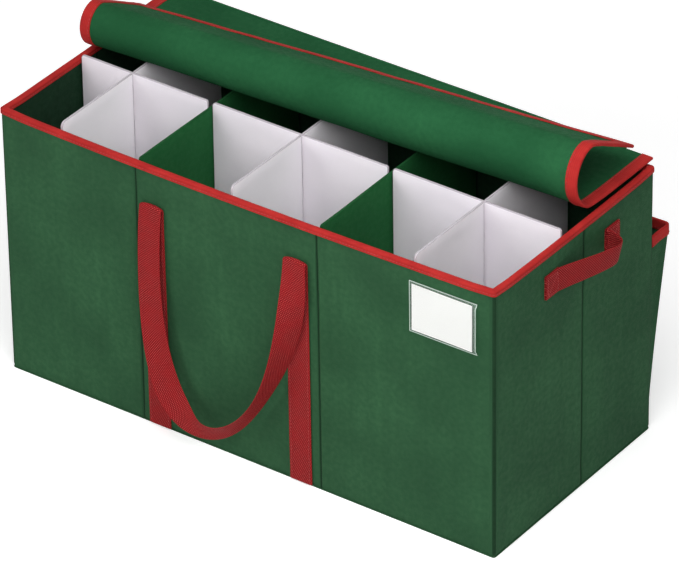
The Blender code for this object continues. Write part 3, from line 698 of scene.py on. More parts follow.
def plate(name, outline, spot, thickness, materials, warp, cell=0.016, bevel=0.0011):
    """A cloth-covered board from an outline of (along, height), slightly warped, with soft edges. Spot gives a
    point in space from the distance along, the height and the offset through the thickness."""
    shape = bmesh.new()
    shape.faces.new([shape.verts.new((a, 0, b)) for a, b in outline])
    for axis in (0, 2):
        values = [point[axis // 2] for point in outline]
        count = max(2, int((max(values) - min(values)) / cell))
        for index in range(1, count):
            place, across = Vector(), Vector()
            place[axis] = min(values) + (max(values) - min(values)) * index / count
            across[axis] = 1
            everything = shape.verts[:] + shape.edges[:] + shape.faces[:]
            bmesh.ops.bisect_plane(shape, geom=everything, plane_co=place, plane_no=across)
    shape.verts.index_update()
    flat = [vert.co.copy() for vert in shape.verts]
    cells = [[vert.index for vert in face.verts] for face in shape.faces]
    border = [tuple(vert.index for vert in edge.verts) for edge in shape.edges if len(edge.link_faces) == 1]
    shape.free()
    size = len(flat)
    solid = bmesh.new()
    for side in (-0.5, 0.5):
        for point in flat:
            solid.verts.new((point.x, side * thickness, point.z))
    solid.verts.ensure_lookup_table()
    for face in cells:
        solid.faces.new([solid.verts[corner] for corner in face])
        solid.faces.new([solid.verts[corner + size] for corner in reversed(face)])
    for first, second in border:
        solid.faces.new([solid.verts[i] for i in (first, second, second + size, first + size)])
    bmesh.ops.recalc_face_normals(solid, faces=solid.faces)
    edges = [e for e in solid.edges if len(e.link_faces) == 2 and e.calc_face_angle() > 1.0]
    soft = {"offset": bevel, "segments": 3, "profile": 0.5, "affect": "EDGES", "clamp_overlap": True}
    bmesh.ops.bevel(solid, geom=edges, **soft)
    solid.verts.index_update()
    piece = Piece()
    points, weave = [], []
    for vert in solid.verts:
        along, depth, height = vert.co
        points.append(spot(along, height, depth + warp(along, height)))
        # The third value marks the board's edges, where the finishes paint shade.
        weave.append((along + depth, height, 0.45 if abs(depth) < 0.49 * thickness else 0.0))
    piece.add(points, [[vert.index for vert in face.verts] for face in solid.faces], weave)
    solid.free()
    return piece.make(name, *materials, sharp=70)


def rounded_top(start, end, bottom, top, start_radius, end_radius, steps=7):
    """An upright board's outline, with its own radius at each upper corner."""
    outline = [(end, bottom)]
    corners = ((end - end_radius, end_radius, 0.0), (start + start_radius, start_radius, math.pi / 2))
    for centre, radius, first in corners:
        for step in range(steps + 1):
            angle = first + math.pi / 2 * step / steps
            outline.append((centre + radius * math.cos(angle), top - radius + radius * math.sin(angle)))
    return outline + [(start, bottom)]


BOARD_FOOT, BOARD_THICKNESS = 0.0048, 0.0026
# The cut of a stiffener below the rim, its depth behind the cover and the gap beside a seam
BOARD_CUT, BOARD_DEPTH, SEAM_GAP = 0.0084, 0.0019, 0.001


def make_boards():
    """The stiffeners inside the walls, which follow the cloth's bow and the rim's fall."""
    made = []
    wall_rows = (("front", FRONT, 1), ("right", RIGHT, 1), ("rear", REAR, -1), ("left", LEFT, -1))
    for side_name, side, way in wall_rows:
        along, outward, half, distance, _ = SIDES[side]
        if half == HALF_LENGTH:
            labels, edges = ("left", "middle", "right"), [CLEARANCE + COVER - half, LEFT_SEAM, RIGHT_SEAM]
        else:
            labels, edges = ("front", "rear"), [STACK - LINING - half, SIDE_SEAM]
        edges.append(-edges[0])
        for label, start, end in zip(labels, edges, edges[1:]):

            def spot(a, z, d):
                share = (z - BOARD_FOOT) / (BOX_HEIGHT - BOARD_FOOT)
                height = BOARD_FOOT + share * (BOX_HEIGHT - BOARD_CUT - rim_fall(way * a, half))
                depth = distance + bow(side, way * a, height) - COVER - BOARD_DEPTH + d
                return along * way * a + outward * depth + Vector((0, 0, height))

            start, end = start + SEAM_GAP * (start > edges[0]), end - SEAM_GAP * (end < edges[-1])
            outline = [(start, BOARD_FOOT), (end, BOARD_FOOT), (end, BOX_HEIGHT), (start, BOX_HEIGHT)]
            name = f"stiffener_{side_name}_{label}"
            board = plate(name, outline, spot, BOARD_THICKNESS, [BOARD], lambda a, z: 0.0, 0.02, 0.0004)
            settle(board, "box", "grey_board", f"{side_name}_board_{label}")
            made.append(name)
    return made


boards = make_boards()


PANEL_THICKNESS, PANEL_TOP, PANEL_RADIUS = 0.004, 0.346, 0.003
PALE_THICKNESS, SLOT_HALF, CROSS_Y = 0.003, 0.002, -0.0156
# A deep divider's place between its two panels, as a share of the span
DEEP_PLACES = (0.41, 0.51, 0.54)
DEEP_RADII, CROSS_RADII = (0.007, 0.0026), (0.0048, 0.0030)


def make_dividers():
    """The green partitions at the wall seams, and the slotted pale boards that cross between them."""
    wall, panel = HALF_LENGTH - STACK, PANEL_THICKNESS / 2
    spans = [(-wall, LEFT_SEAM - panel), (LEFT_SEAM + panel, RIGHT_SEAM - panel), (RIGHT_SEAM + panel, wall)]
    reach = HALF_DEPTH - STACK - BINDING_REACH
    for number, (side, x) in enumerate((("left", LEFT_SEAM), ("right", RIGHT_SEAM))):
        near = reach - CLEARANCE - 0.0006
        outline = rounded_top(-near, near, DIVIDER_BOTTOM, PANEL_TOP, PANEL_RADIUS, PANEL_RADIUS, 4)
        warp = lambda y, z, n=number: 0.0009 * grain(y * 9, z * 7, 30.0 + n) * smooth((0.15 - abs(y)) / 0.04)
        spot = lambda y, z, d, x=x: Vector((x + d, y, z))
        made = plate(f"green_divider_{side}", outline, spot, PANEL_THICKNESS, [PANEL], warp)
        settle(made, "box", "green_fabric", f"fabric_divider_{side}")
    middle = DIVIDER_BOTTOM + (DIVIDER_TOP - DIVIDER_BOTTOM) / 2
    reach -= 0.001
    rows = zip(("left", "middle", "right"), spans, DEEP_PLACES)
    for number, (side, (start, end), share) in enumerate(rows):
        x = start + (end - start) * share
        outline = rounded_top(-reach, reach, DIVIDER_BOTTOM, DIVIDER_TOP, *DEEP_RADII)
        slot = [(CROSS_Y + SLOT_HALF, DIVIDER_TOP), (CROSS_Y + SLOT_HALF, middle - CLEARANCE)]
        slot += [(CROSS_Y - SLOT_HALF, middle - CLEARANCE), (CROSS_Y - SLOT_HALF, DIVIDER_TOP)]
        corner = len(outline) // 2
        outline = outline[:corner] + slot + outline[corner:]
        still = lambda y: smooth((abs(y - CROSS_Y) - 0.006) / 0.05)
        warp = lambda y, z, n=number: 0.0008 * grain(y * 8, z * 6, 3.0 * n) * still(y)
        spot = lambda y, z, d, x=x: Vector((x + d, y, z))
        made = plate(f"pale_divider_{side}", outline, spot, PALE_THICKNESS, [WHITE_LIFTED], warp)
        settle(made, "box", "white_board", f"deep_divider_{side}")
        start += 0.001 + (BINDING_REACH if side == "left" else 0)
        end -= 0.001 + (BINDING_REACH if side == "right" else 0)
        outline = rounded_top(start, end, DIVIDER_BOTTOM, DIVIDER_TOP, *CROSS_RADII)
        outline += [(x - SLOT_HALF, DIVIDER_BOTTOM), (x - SLOT_HALF, middle + CLEARANCE)]
        outline += [(x + SLOT_HALF, middle + CLEARANCE), (x + SLOT_HALF, DIVIDER_BOTTOM)]
        still = lambda a, x=x: smooth((abs(a - x) - 0.006) / 0.04)
        warp = lambda a, z, n=number: 0.0007 * grain(a * 8, z * 6, 50.0 + n) * still(a)
        spot = lambda a, z, d: Vector((a, CROSS_Y + d, z))
        made = plate(f"pale_cross_{side}", outline, spot, PALE_THICKNESS, [WHITE], warp)
        settle(made, f"{side}_cross_board", "white_board", f"long_divider_{side}")


make_dividers()


# Webbing


def spline_point(points, share):
    """A point on the smooth curve through the points, at a share of the way along their list."""
    place = share * (len(points) - 1)
    first = min(int(place), len(points) - 2)
    t = place - first
    before = points[max(first - 1, 0)]
    start, end = points[first], points[first + 1]
    after = points[min(first + 2, len(points) - 1)]
    bend = (before * 2 - start * 5 + end * 4 - after) * t**2 + (start * 3 - before - end * 3 + after) * t**3
    return (start * 2 + (end - before) * t + bend) / 2


def loop_point(share, folds, outward, bulge):
    """A point of a carrying loop, from the left fold to the right one, bowed off the wall between them."""
    rest = 1 - share
    first, second = 3 * rest * rest * share, 3 * rest * share * share
    across = first * LOOP_ACROSS[0] + second * LOOP_ACROSS[1] + share**3
    fall = first * LOOP_FALL[0] + second * LOOP_FALL[1]
    bow = (LOOP_BULGE[0] * rest + LOOP_BULGE[1] * share) * max(0.0, math.sin(math.pi * share)) ** 0.8
    depth = folds[0] + (folds[1] - folds[0]) * across + 2 * FOLD_RADIUS + bulge * bow
    lead = FOLD_RADIUS + 0.0011
    x = STRAP_X[0] + (STRAP_X[1] - STRAP_X[0]) * across
    return Vector((x, outward * depth, FOLD_HEIGHT - lead - (LOOP_DROP - lead) * fall))


def carrying_webbing(side_name, side, outward):
    """Both sewn straps of a long wall and the loop between them, as one length of webbing that folds twice."""
    piece = Piece()

    def stand(x, z):
        """The depth of a strap that lies on the wall's cloth at a place."""
        bow = max(0.0, min(swell(side, -outward * x, z), 0.0024))
        return HALF_DEPTH + CLEARANCE + WEB_THICKNESS / 2 + bow + 0.0002

    def lie(x, fold, z):
        """The strap's depth at a height: sewn to the cloth, and drawn out to its fold near the top."""
        return stand(x, z) + (fold - stand(x, z)) * smooth((z - 0.2) / 0.09)

    def climb(x, fold):
        """The way up a strap and over its fold, to where the loop hangs."""
        heights = np.linspace(0.0016, FOLD_HEIGHT, 100)[:-1]
        route = [Vector((x, outward * lie(x, fold, z), z)) for z in heights]
        for step in range(13):
            angle = math.pi * step / 12
            depth = fold + FOLD_RADIUS * (1 - math.cos(angle))
            route.append(Vector((x, outward * depth, FOLD_HEIGHT + FOLD_RADIUS * math.sin(angle))))
        return route

    folds = [max(stand(x, FOLD_HEIGHT - 0.01 * k) for k in range(28)) for x in STRAP_X]
    middles = climb(STRAP_X[0], folds[0])
    across = [Vector((1, 0, 0))] * len(middles)
    bulge, turning = (1.0, 1.0) if side_name == "front" else (REAR_BULGE, REAR_TURN)
    count = 180
    loop = [loop_point(index / count, folds, outward, bulge) for index in range(count + 1)]
    for index, (middle, along) in enumerate(zip(loop, facing(loop))):
        share = index / count
        easing = min(1.0, math.sin(math.pi * share) / 0.3)
        turns = sum(angle * bell(share - centre, width) for angle, centre, width in LOOP_TURNS)
        tilt = turning * easing * turns
        upright = Vector((-along.z, 0, along.x)).normalized()
        middles.append(middle)
        across.append(upright * math.cos(tilt) + Vector((0, outward, 0)) * math.sin(tilt))
    middles += climb(STRAP_X[1], folds[1])[::-1]
    across += [Vector((-1, 0, 0))] * (len(middles) - len(across))
    droops = [0.0024 * bell(middle.z - FOLD_HEIGHT - FOLD_RADIUS, 0.0045) for middle in middles]
    length = strip(piece, middles, across, WEB_WIDTH, WEB_THICKNESS, columns=11, droops=droops)
    out = Vector((0, outward, 0))
    heights = np.linspace(0.006, FOLD_HEIGHT - 0.016, 60)
    for x, fold in zip(STRAP_X, folds):
        for offset in (-0.0122, 0.0122):
            depths = [lie(x, fold, z) + WEB_THICKNESS / 2 for z in heights]
            route = [Vector((x + offset, outward * depth, z)) for depth, z in zip(depths, heights)]
            piece.stitches(route, [out] * len(route), 1)
    made = piece.make(f"{side_name}_webbing", WEB, RED_THREAD)
    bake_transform(made)
    straps = [f"{side_name}_strap_{place}" for place in ("left", "right")]
    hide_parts(*straps, f"{side_name}_handle")


def grab_webbing(side_name, side, outward):
    """A short handle on an end wall: sewn ends, folded under, and the bow between them."""
    piece = Piece()
    wall = HALF_LENGTH + CLEARANCE
    half = GRAB_SPAN / 2
    base = max(0.0, swell(side, outward * GRAB_Y, GRAB_Z)) + 0.0003
    over = wall + base + 1.5 * WEB_THICKNESS
    middles = [Vector((over, y, GRAB_Z)) for y in np.linspace(-half - GRAB_TAB, -half, 14, endpoint=False)]
    up = [Vector((0, 0, 1))] * len(middles)
    for index in range(61):
        along, out = spline_point(GRAB_ALONG, index / 60), spline_point(GRAB_OUT, index / 60)
        fullness = out / max(GRAB_OUT)
        middles.append(Vector((over + out, along - half, GRAB_Z - GRAB_DROOP * fullness)))
        lean = GRAB_LEAN * fullness
        up.append(Vector((outward * math.sin(lean), 0, math.cos(lean))))
    middles += [Vector((over, y, GRAB_Z)) for y in np.linspace(half, half + GRAB_TAB, 15)[1:]]
    middles = [Vector((outward * p.x, p.y + GRAB_Y, p.z)) for p in middles]
    up += [Vector((0, 0, 1))] * (len(middles) - len(up))
    length = strip(piece, middles, up, WEB_WIDTH, WEB_THICKNESS, columns=11)
    for start, end in ((-half - GRAB_TAB, -half + 0.002), (half - 0.002, half + GRAB_TAB)):
        x = outward * (wall + base + WEB_THICKNESS / 2)
        under = [Vector((x, GRAB_Y + y, GRAB_Z)) for y in np.linspace(start, end, 10)]
        length += strip(piece, under, [Vector((0, 0, 1))] * 10, WEB_WIDTH * 0.985, WEB_THICKNESS, columns=7)
    out = Vector((outward, 0, 0))
    surface = outward * (wall + base + 2 * WEB_THICKNESS + 0.0001)
    for start, end in ((-half - GRAB_TAB + 0.003, -half - 0.002), (half + 0.002, half + GRAB_TAB - 0.003)):
        low, high = GRAB_Z - 0.0115, GRAB_Z + 0.0115
        corners = [(start, low), (end, low), (end, high), (start, high), (start, low), (end, high)]
        corners = [Vector((surface, GRAB_Y + y, z)) for y, z in corners]
        for corner, following in zip(corners, corners[1:]):
            route = [corner.lerp(following, step / 8) for step in range(9)]
            piece.stitches(route, [out] * 9, 1)
    made = piece.make(f"{side_name}_grab_webbing", WEB, RED_THREAD)
    near = wall + base + 2 * WEB_THICKNESS + 0.0008
    start = Vector((outward * near, GRAB_Y, GRAB_Z))
    end = Vector((outward * (near + 0.012), GRAB_Y, GRAB_Z))
    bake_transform(made)
    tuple(start)
    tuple(end)
    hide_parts(f"{side_name}_tab_front", f"{side_name}_tab_rear", f"{side_name}_handle")


carrying_webbing("front", FRONT, -1)
carrying_webbing("rear", REAR, 1)
grab_webbing("right", RIGHT, 1)
grab_webbing("left", LEFT, -1)


# Label


def front_sheet(piece, xs, zs, depth, half):
    """A thin upright sheet before the front wall, at a depth given for each place on its grid."""
    for x in xs:
        front = [Vector((x, -depth(x, z) - half, z)) for z in zs]
        back = [Vector((x, -depth(x, z) + half, z)) for z in zs]
        piece.ring(front, back, [(x, z) for z in zs])
    piece.sweep()


def make_label():
    """The clear film pocket and the blank card in it."""
    xs, zs = np.linspace(LABEL_LEFT, LABEL_RIGHT, 12), np.linspace(LABEL_LOW, LABEL_HIGH, 9)
    proud = HALF_DEPTH + max(swell(FRONT, x, z) for x in xs for z in zs)

    def card_depth(x, z):
        return proud + 0.0009 + 0.0004 * grain(x * 20, z * 20, 1.0)

    def film_depth(x, z):
        inset = min(x - LABEL_LEFT, z - LABEL_LOW, LABEL_HIGH - z)
        lift = smooth((inset - 0.0022) / 0.0035)
        ripple = 0.0003 * grain(x * 45, z * 45, 9.0) * lift
        flat = HALF_DEPTH + max(swell(FRONT, x, z), 0.0) + 0.0005
        return flat + (proud + 0.0021 - flat) * lift + ripple

    card = Piece()
    xs, zs = np.linspace(CARD_LEFT, CARD_RIGHT, 30), np.linspace(CARD_LOW, CARD_HIGH, 20)
    front_sheet(card, xs, zs, card_depth, 0.0003)
    paper = card.make("blank_card", PAPER)
    settle(paper, "card", "card_paper", "label_card")
    film = Piece()
    xs, zs = np.linspace(LABEL_LEFT, LABEL_RIGHT, 63), np.linspace(LABEL_LOW, LABEL_HIGH, 46)
    front_sheet(film, xs, zs, film_depth, 0.0002)
    inset = 0.0006
    corners = [(LABEL_RIGHT, LABEL_HIGH - inset), (LABEL_LEFT + inset, LABEL_HIGH - inset)]
    corners += [(LABEL_LEFT + inset, LABEL_LOW + inset), (LABEL_RIGHT, LABEL_LOW + inset)]
    for (x0, z0), (x1, z1) in zip(corners, corners[1:]):
        route = []
        for step in range(31):
            x, z = x0 + (x1 - x0) * step / 30, z0 + (z1 - z0) * step / 30
            route.append(Vector((x, -film_depth(x, z) - 0.0003, z)))
        across = Vector((0, 0, 1)) if z0 == z1 else Vector((1, 0, 0))
        strip(film, route, [across] * 31, 0.0010, 0.0004, columns=5, slot=1)
    mouth = [Vector((LABEL_RIGHT - 0.0009, -film_depth(LABEL_RIGHT, z) - 0.0003, z))
             for z in np.linspace(LABEL_LOW + 0.0013, LABEL_HIGH - 0.0013, 30)]
    strip(film, mouth, [Vector((1, 0, 0))] * 30, 0.0011, 0.0004, columns=5, slot=1)
    clear = film.make("label_film", FILM, WELD)
    settle(clear, "box", "clear_film", "label_pocket")


make_label()


# Rear pockets


def rear_pocket(side_name, start, end):
    """A pocket sewn to the rear wall along its foot and sides, which stands open and sags a little."""
    face = HALF_DEPTH + 0.0006
    foot, knee, top, depth = 0.040, 0.2395, 0.2525, 0.037
    thick = 0.0012
    width = end - start

    def route(z, inset):
        """The pocket's path in plan at a height: out along one gusset, along the front and back in."""
        open_share = min(1.0, max(0.0, (z - foot) / (knee - foot)))
        out, round_by = 0.0008 + depth * open_share**1.15, 0.006 * open_share
        side_points = [(start, face + (out - round_by) * step / 6) for step in range(7)]
        for step in range(1, 5):
            angle = math.pi / 2 * step / 5
            x = start + round_by * (1 - math.cos(angle))
            side_points.append((x, face + out - round_by * (1 - math.sin(angle))))
        points = list(side_points)
        for step in range(41):
            share = step / 40
            sag = 0.0035 * math.sin(math.pi * share) * open_share * (1 - 0.5 * smooth((z - 0.22) / 0.03))
            wave = 0.0011 * grain(share * 6, z * 18, start * 9) * open_share * math.sin(math.pi * share)
            points.append((start + round_by + (width - 2 * round_by) * share, face + out - sag + wave))
        points += [(start + end - x, y) for x, y in side_points[::-1]]
        flat = [Vector((x, y, 0)) for x, y in points]
        gusset = 0.0022 * open_share * (1 - open_share * 0.4)
        made = []
        for point, along in zip(flat, facing(flat)):
            normal = Vector((along.y, -along.x, 0))
            place = point - normal * inset
            pull = bell((place.y - face) / max(out, 0.004) - 0.5, 0.35) * gusset
            side = 1 if point.x < (start + end) / 2 else -1
            if abs(along.y) > 0.8:
                place.x += side * pull
            made.append(place)
        return made

    piece = Piece()
    for z in np.linspace(foot, top, 60):
        rise = Vector((0, 0, z))
        outside = [place + rise for place in route(z, -thick / 2)]
        inside = [place + rise for place in route(z, thick / 2)]
        piece.ring(outside, inside, [(length, z) for length in run_lengths(outside)])
    piece.sweep()
    made = piece.make(f"pocket_cloth_{side_name}", GREEN)
    settle(made, "box", "green_fabric", f"rear_pocket_{side_name}")
    slant = math.hypot(knee - foot, depth) + top - knee
    flat = (width + 2 * depth, slant)
    binding = Piece()
    middle = route(top, 0.0)
    profile = fold_profile(thick / 2 + 0.0013, 0.0012, 0.0127, 0.0009, 6)
    cloth_across = np.linspace(-0.0145, 0.0145, len(profile[0]))
    rows = ([], [])
    for point, along, length in zip(middle, facing(middle), run_lengths(middle)):
        normal = Vector((-along.y, along.x, 0))
        crest = top + BINDING_REACH + 0.0004 * grain(length * 25, 2.0, start)
        faces = [[point + normal * a + Vector((0, 0, crest + b)) for a, b in face] for face in profile]
        binding.ring(*faces, [(length, across) for across in cloth_across])
        for row, sign in zip(rows, (1, -1)):
            stitch = point + normal * sign * (thick / 2 + 0.0016) + Vector((0, 0, crest - 0.0105))
            row.append((stitch, normal * sign))
    binding.sweep()
    binding.stitch_rows(rows)
    made = binding.make(f"pocket_tape_{side_name}", RED, RED_THREAD)
    settle(made, "box", "red_binding", f"pocket_binding_{side_name}")
    flat = (0.027, run_lengths(middle)[-1])


rear_pocket("left", -0.334, -0.149)
rear_pocket("right", 0.1025, 0.334)


# Lid


def lid_point(x, along):
    return Vector((x, LID_PIVOT_Y - along, LID_PIVOT_Z))


def lid_corners():
    """The curled lid's two side edges as the points where they bend, from the hinge line to the free edge."""
    place = Matrix.Identity(4)
    left, right = [lid_point(-LID_WIDTH / 2, 0)], [lid_point(LID_WIDTH / 2, 0)]
    for left_share, right_share in zip(LEFT_CREASES, RIGHT_CREASES):
        low = lid_point(-LID_WIDTH / 2, LID_LENGTH * left_share)
        high = lid_point(LID_WIDTH / 2, LID_LENGTH * right_share)
        left.append(place @ low)
        right.append(place @ high)
        spin = Matrix.Rotation(CREASE_TURN, 4, low - high)
        place = place @ Matrix.Translation(low) @ spin @ Matrix.Translation(-low)
    left.append(place @ lid_point(-LID_WIDTH / 2, LID_LENGTH))
    right.append(place @ lid_point(LID_WIDTH / 2, LID_LENGTH))
    return left, right


LID_LEFT, LID_RIGHT = lid_corners()
LEFT_ALONG = [0.0] + [share * LID_LENGTH for share in LEFT_CREASES] + [LID_LENGTH]
RIGHT_ALONG = [0.0] + [share * LID_LENGTH for share in RIGHT_CREASES] + [LID_LENGTH]
LAST = len(LID_LEFT) - 1


def lid_row(segment, t):
    """A row of the lid: its left and right points, with their directions of travel and their distances along
    the cloth. Segment 0 runs from the hinge to the first flat's middle, the last one from the last flat's
    middle to the free edge, and each one between rounds a crease."""
    found = []
    for corners, along in ((LID_LEFT, LEFT_ALONG), (LID_RIGHT, RIGHT_ALONG)):
        if segment == 0:
            start, end = corners[0], (corners[0] + corners[1]) / 2
            point, ahead = start.lerp(end, t), end - start
            place = along[0] + (along[1] - along[0]) / 2 * t
        elif segment == LAST:
            start, end = (corners[-2] + corners[-1]) / 2, corners[-1]
            point, ahead = start.lerp(end, t), end - start
            place = (along[-2] + along[-1]) / 2 + (along[-1] - along[-2]) / 2 * t
        else:
            before, bend, after = corners[segment - 1], corners[segment], corners[segment + 1]
            start, end = (before + bend) / 2, (bend + after) / 2
            point = start * (1 - t) ** 2 + bend * 2 * t * (1 - t) + end * t**2
            ahead = (bend - start) * (1 - t) + (end - bend) * t
            low, high = (along[segment - 1] + along[segment]) / 2, (along[segment] + along[segment + 1]) / 2
            place = low * (1 - t) ** 2 + along[segment] * 2 * t * (1 - t) + high * t**2
        found.append((point, ahead.normalized(), place))
    return found


def lid_frame(segment, t, share):
    """A point of the lid at a share of its width, with its ruling direction, normal and cloth coordinates."""
    (left, left_ahead, left_place), (right, right_ahead, right_place) = lid_row(segment, t)
    rule = (right - left).normalized()
    ahead = left_ahead.lerp(right_ahead, share)
    normal = rule.cross(ahead).normalized()
    place = left_place + (right_place - left_place) * share
    x = (share - 0.5) * LID_WIDTH
    wave = 0.0007 * grain(x * 7.0, place * 16.0, 5.0) + 0.0003 * grain(x * 22.0, place * 40.0, 8.0)
    wave *= smooth(place / 0.03)
    return left.lerp(right, share) + normal * wave, rule, normal, (x, place)


BODIES = ["lid_flap"] + [f"lid_curl_{number}" for number in range(1, LAST - 1)] + ["lid_tip"]
EDGE_TAPE, FREE_TAPE, TAPE_SKIN = 0.0125, 0.0155, 0.0009


def bind(made, segment):
    """The lid's end pieces ride on their flats; for a piece round a crease, a line across it is found and the
    piece stays fixed.
    """
    if segment in (0, LAST):
        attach(made, BODIES[0] if segment == 0 else BODIES[-1])
        return
    crease = (LID_LEFT[segment] + LID_RIGHT[segment]) / 2
    before = (LID_LEFT[segment - 1] + LID_RIGHT[segment - 1]) / 2
    after = (LID_LEFT[segment + 1] + LID_RIGHT[segment + 1]) / 2
    line = (LID_RIGHT[segment] - LID_LEFT[segment]).normalized()
    travel = (crease - before).normalized() + (after - crease).normalized()
    travel = (travel - line * travel.dot(line)).normalized()
    room = []
    for corners in (LID_LEFT, LID_RIGHT):
        for beside in (segment - 1, segment + 1):
            room.append(abs(((corners[segment] + corners[beside]) / 2 - crease).dot(travel)))
    reach = min(room) * 0.96
    start, end = crease - travel * reach, crease + travel * reach
    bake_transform(made)
    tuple(start)
    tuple(end)


def lid_rows(segment):
    """A segment's shares of its way, closer together where it rounds a crease."""
    return np.linspace(0, 1, 15 if 0 < segment < LAST else 9)


def lid_cloth(segment):
    piece = Piece()
    lengths = []
    for t in lid_rows(segment):
        top, bottom, cloth = [], [], []
        for share in np.linspace(0, 1, 61):
            point, _, normal, spot = lid_frame(segment, t, share)
            top.append(point + normal * LID_THICKNESS / 2)
            bottom.append(point - normal * LID_THICKNESS / 2)
            cloth.append(spot)
        lengths.append((cloth[0][1], cloth[-1][1]))
        piece.ring(top, bottom, cloth)
    piece.sweep()
    made = piece.make(f"lid_cloth_{segment}", LID_LIT_GREEN)
    bind(made, segment)
    if segment < LAST:
        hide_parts(f"lid_slat_{segment}")
    left, right = lengths[-1][0] - lengths[0][0], lengths[-1][1] - lengths[0][1]
    longest = max(left, right)
    return made, (LID_WIDTH, longest), LID_WIDTH * (left + right) / 2


def edge_profile(wide, bulge, crest):
    """The section of a tape folded over the lid's edge, as (reach past it, height): outside and inside."""
    half, full = LID_THICKNESS / 2, LID_THICKNESS / 2 + TAPE_SKIN
    flank = [(-wide, full), (-wide * 0.6, full), (-0.002, full)]
    outside = list(flank)
    for step in range(1, 6):
        angle = math.pi * step / 6
        outside.append((0.0002 + bulge * math.sin(angle), crest * math.cos(angle)))
    outside += [(a, -b) for a, b in flank[::-1]]
    return outside, [(min(a, 0.0001), b * half / full * 0.98) for a, b in outside]


def side_tape(segment, share):
    """The folded tape over one side edge of the lid, with its rows of stitches."""
    piece = Piece()
    sign = 1 if share else -1
    wide, full = EDGE_TAPE, LID_THICKNESS / 2 + TAPE_SKIN
    outside, inside = edge_profile(wide, 0.0016, full)
    across = np.linspace(-wide, wide, len(outside))
    rows = ([], [])
    for t in lid_rows(segment):
        point, rule, normal, (_, place) = lid_frame(segment, t, share)
        pucker = 0.00025 * grain(place * 120, 3.0, share)
        outer = [point + rule * sign * a + normal * (b + math.copysign(pucker, b)) for a, b in outside]
        inner = [point + rule * sign * a + normal * b for a, b in inside]
        piece.ring(outer, inner, [(place, v) for v in across])
        for row, face in zip(rows, (1, -1)):
            stitch = point - rule * sign * (wide - 0.002) + normal * face * (full + 0.0001)
            row.append((stitch, normal * face))
    piece.sweep()
    piece.stitch_rows(rows, pitch=0.0036)
    made = piece.make(f"lid_tape_{'right' if share else 'left'}_{segment}", RED, RED_THREAD)
    bind(made, segment)
    return made


def free_edge():
    """The folded tape over the lid's free edge."""
    piece = Piece()
    wide, full = FREE_TAPE, LID_THICKNESS / 2 + TAPE_SKIN
    profile = edge_profile(wide, 0.0018, LID_THICKNESS / 2 + 1.6 * TAPE_SKIN)
    across = np.linspace(-wide, wide, len(profile[0]))
    rows = ([], [])
    for share in np.linspace(0.0, 1.0, 110):
        point, rule, normal, (x, _) = lid_frame(LAST, 1.0, share)
        ahead = normal.cross(rule)
        wave = 0.0006 * grain(x * 25, 6.0, 1.0)
        faces = [[point + ahead * a + normal * (b + wave) for a, b in face] for face in profile]
        piece.ring(*faces, [(x, v) for v in across])
        for row, face in zip(rows, (1, -1)):
            stitch = point - ahead * (wide - 0.002) + normal * (face * (full + 0.0001) + wave)
            row.append((stitch, normal * face))
    piece.sweep()
    piece.stitch_rows(rows)
    made = piece.make("lid_free_tape", RED, RED_THREAD)
    return settle(made, "lid_tip", "red_binding", "lid_edge_binding")


def make_lid():
    """The lid's cloth and side tapes, strip by strip, and the tape of its free edge."""
    for segment in range(LAST + 1):
        made, flat, area = lid_cloth(segment)
        tapes = [side_tape(segment, share) for share in (0.0, 1.0)]
        if segment == LAST:
            tapes.append(free_edge())


def hinge_tape():
    """The standing tape along the rear rim, which ends in the round bead that the lid turns on."""
    piece = Piece()
    face, radius, thick = HALF_DEPTH + BINDING_REACH, 0.0022, 0.001
    middle = face + CLEARANCE + radius
    reach = HALF_LENGTH - STACK - DIP_RUN
    first = math.atan2(-0.0016, -0.0012)
    heights = (0.341, 0.3465, 0.352)
    outer = [(face + CLEARANCE + thick, z) for z in heights]
    inner = [(face + CLEARANCE, z) for z in heights]
    for step in range(7):
        for ring, start, end in ((outer, first, math.pi / 2), (inner, math.pi, math.pi / 2)):
            angle = start + (end - start) * step / 6
            ring.append((middle + radius * math.cos(angle), LID_PIVOT_Z + radius * math.sin(angle)))
    inner[-1] = (middle - 0.0003, LID_PIVOT_Z + radius)
    for x in np.linspace(-reach, reach, 140):
        wave = 0.0003 * grain(x * 30, 1.0, 0.0)
        faces = [[Vector((x, y + wave, z)) for y, z in ring] for ring in (outer, inner)]
        piece.ring(*faces, [(x, z) for _, z in outer])
    piece.sweep()
    made = piece.make("hinge_cloth", LID_LIT_GREEN)
    settle(made, "box", "green_fabric", "lid_hinge_tape")


make_lid()
hinge_tape()


# Stage


def camera_basis(azimuth, elevation, roll):
    """The camera's right, up and backward directions, from its place round the box and its roll."""
    level_share = math.cos(elevation)
    back = Vector((math.sin(azimuth) * level_share, -math.cos(azimuth) * level_share, math.sin(elevation)))
    level = Vector((math.cos(azimuth), math.sin(azimuth), 0))
    upright = back.cross(level)
    right = level * math.cos(roll) + upright * math.sin(roll)
    up = upright * math.cos(roll) - level * math.sin(roll)
    return right, up, back


IMAGE_WIDTH, SENSOR = 679, 36.0
FOCAL_PIXELS = 6250
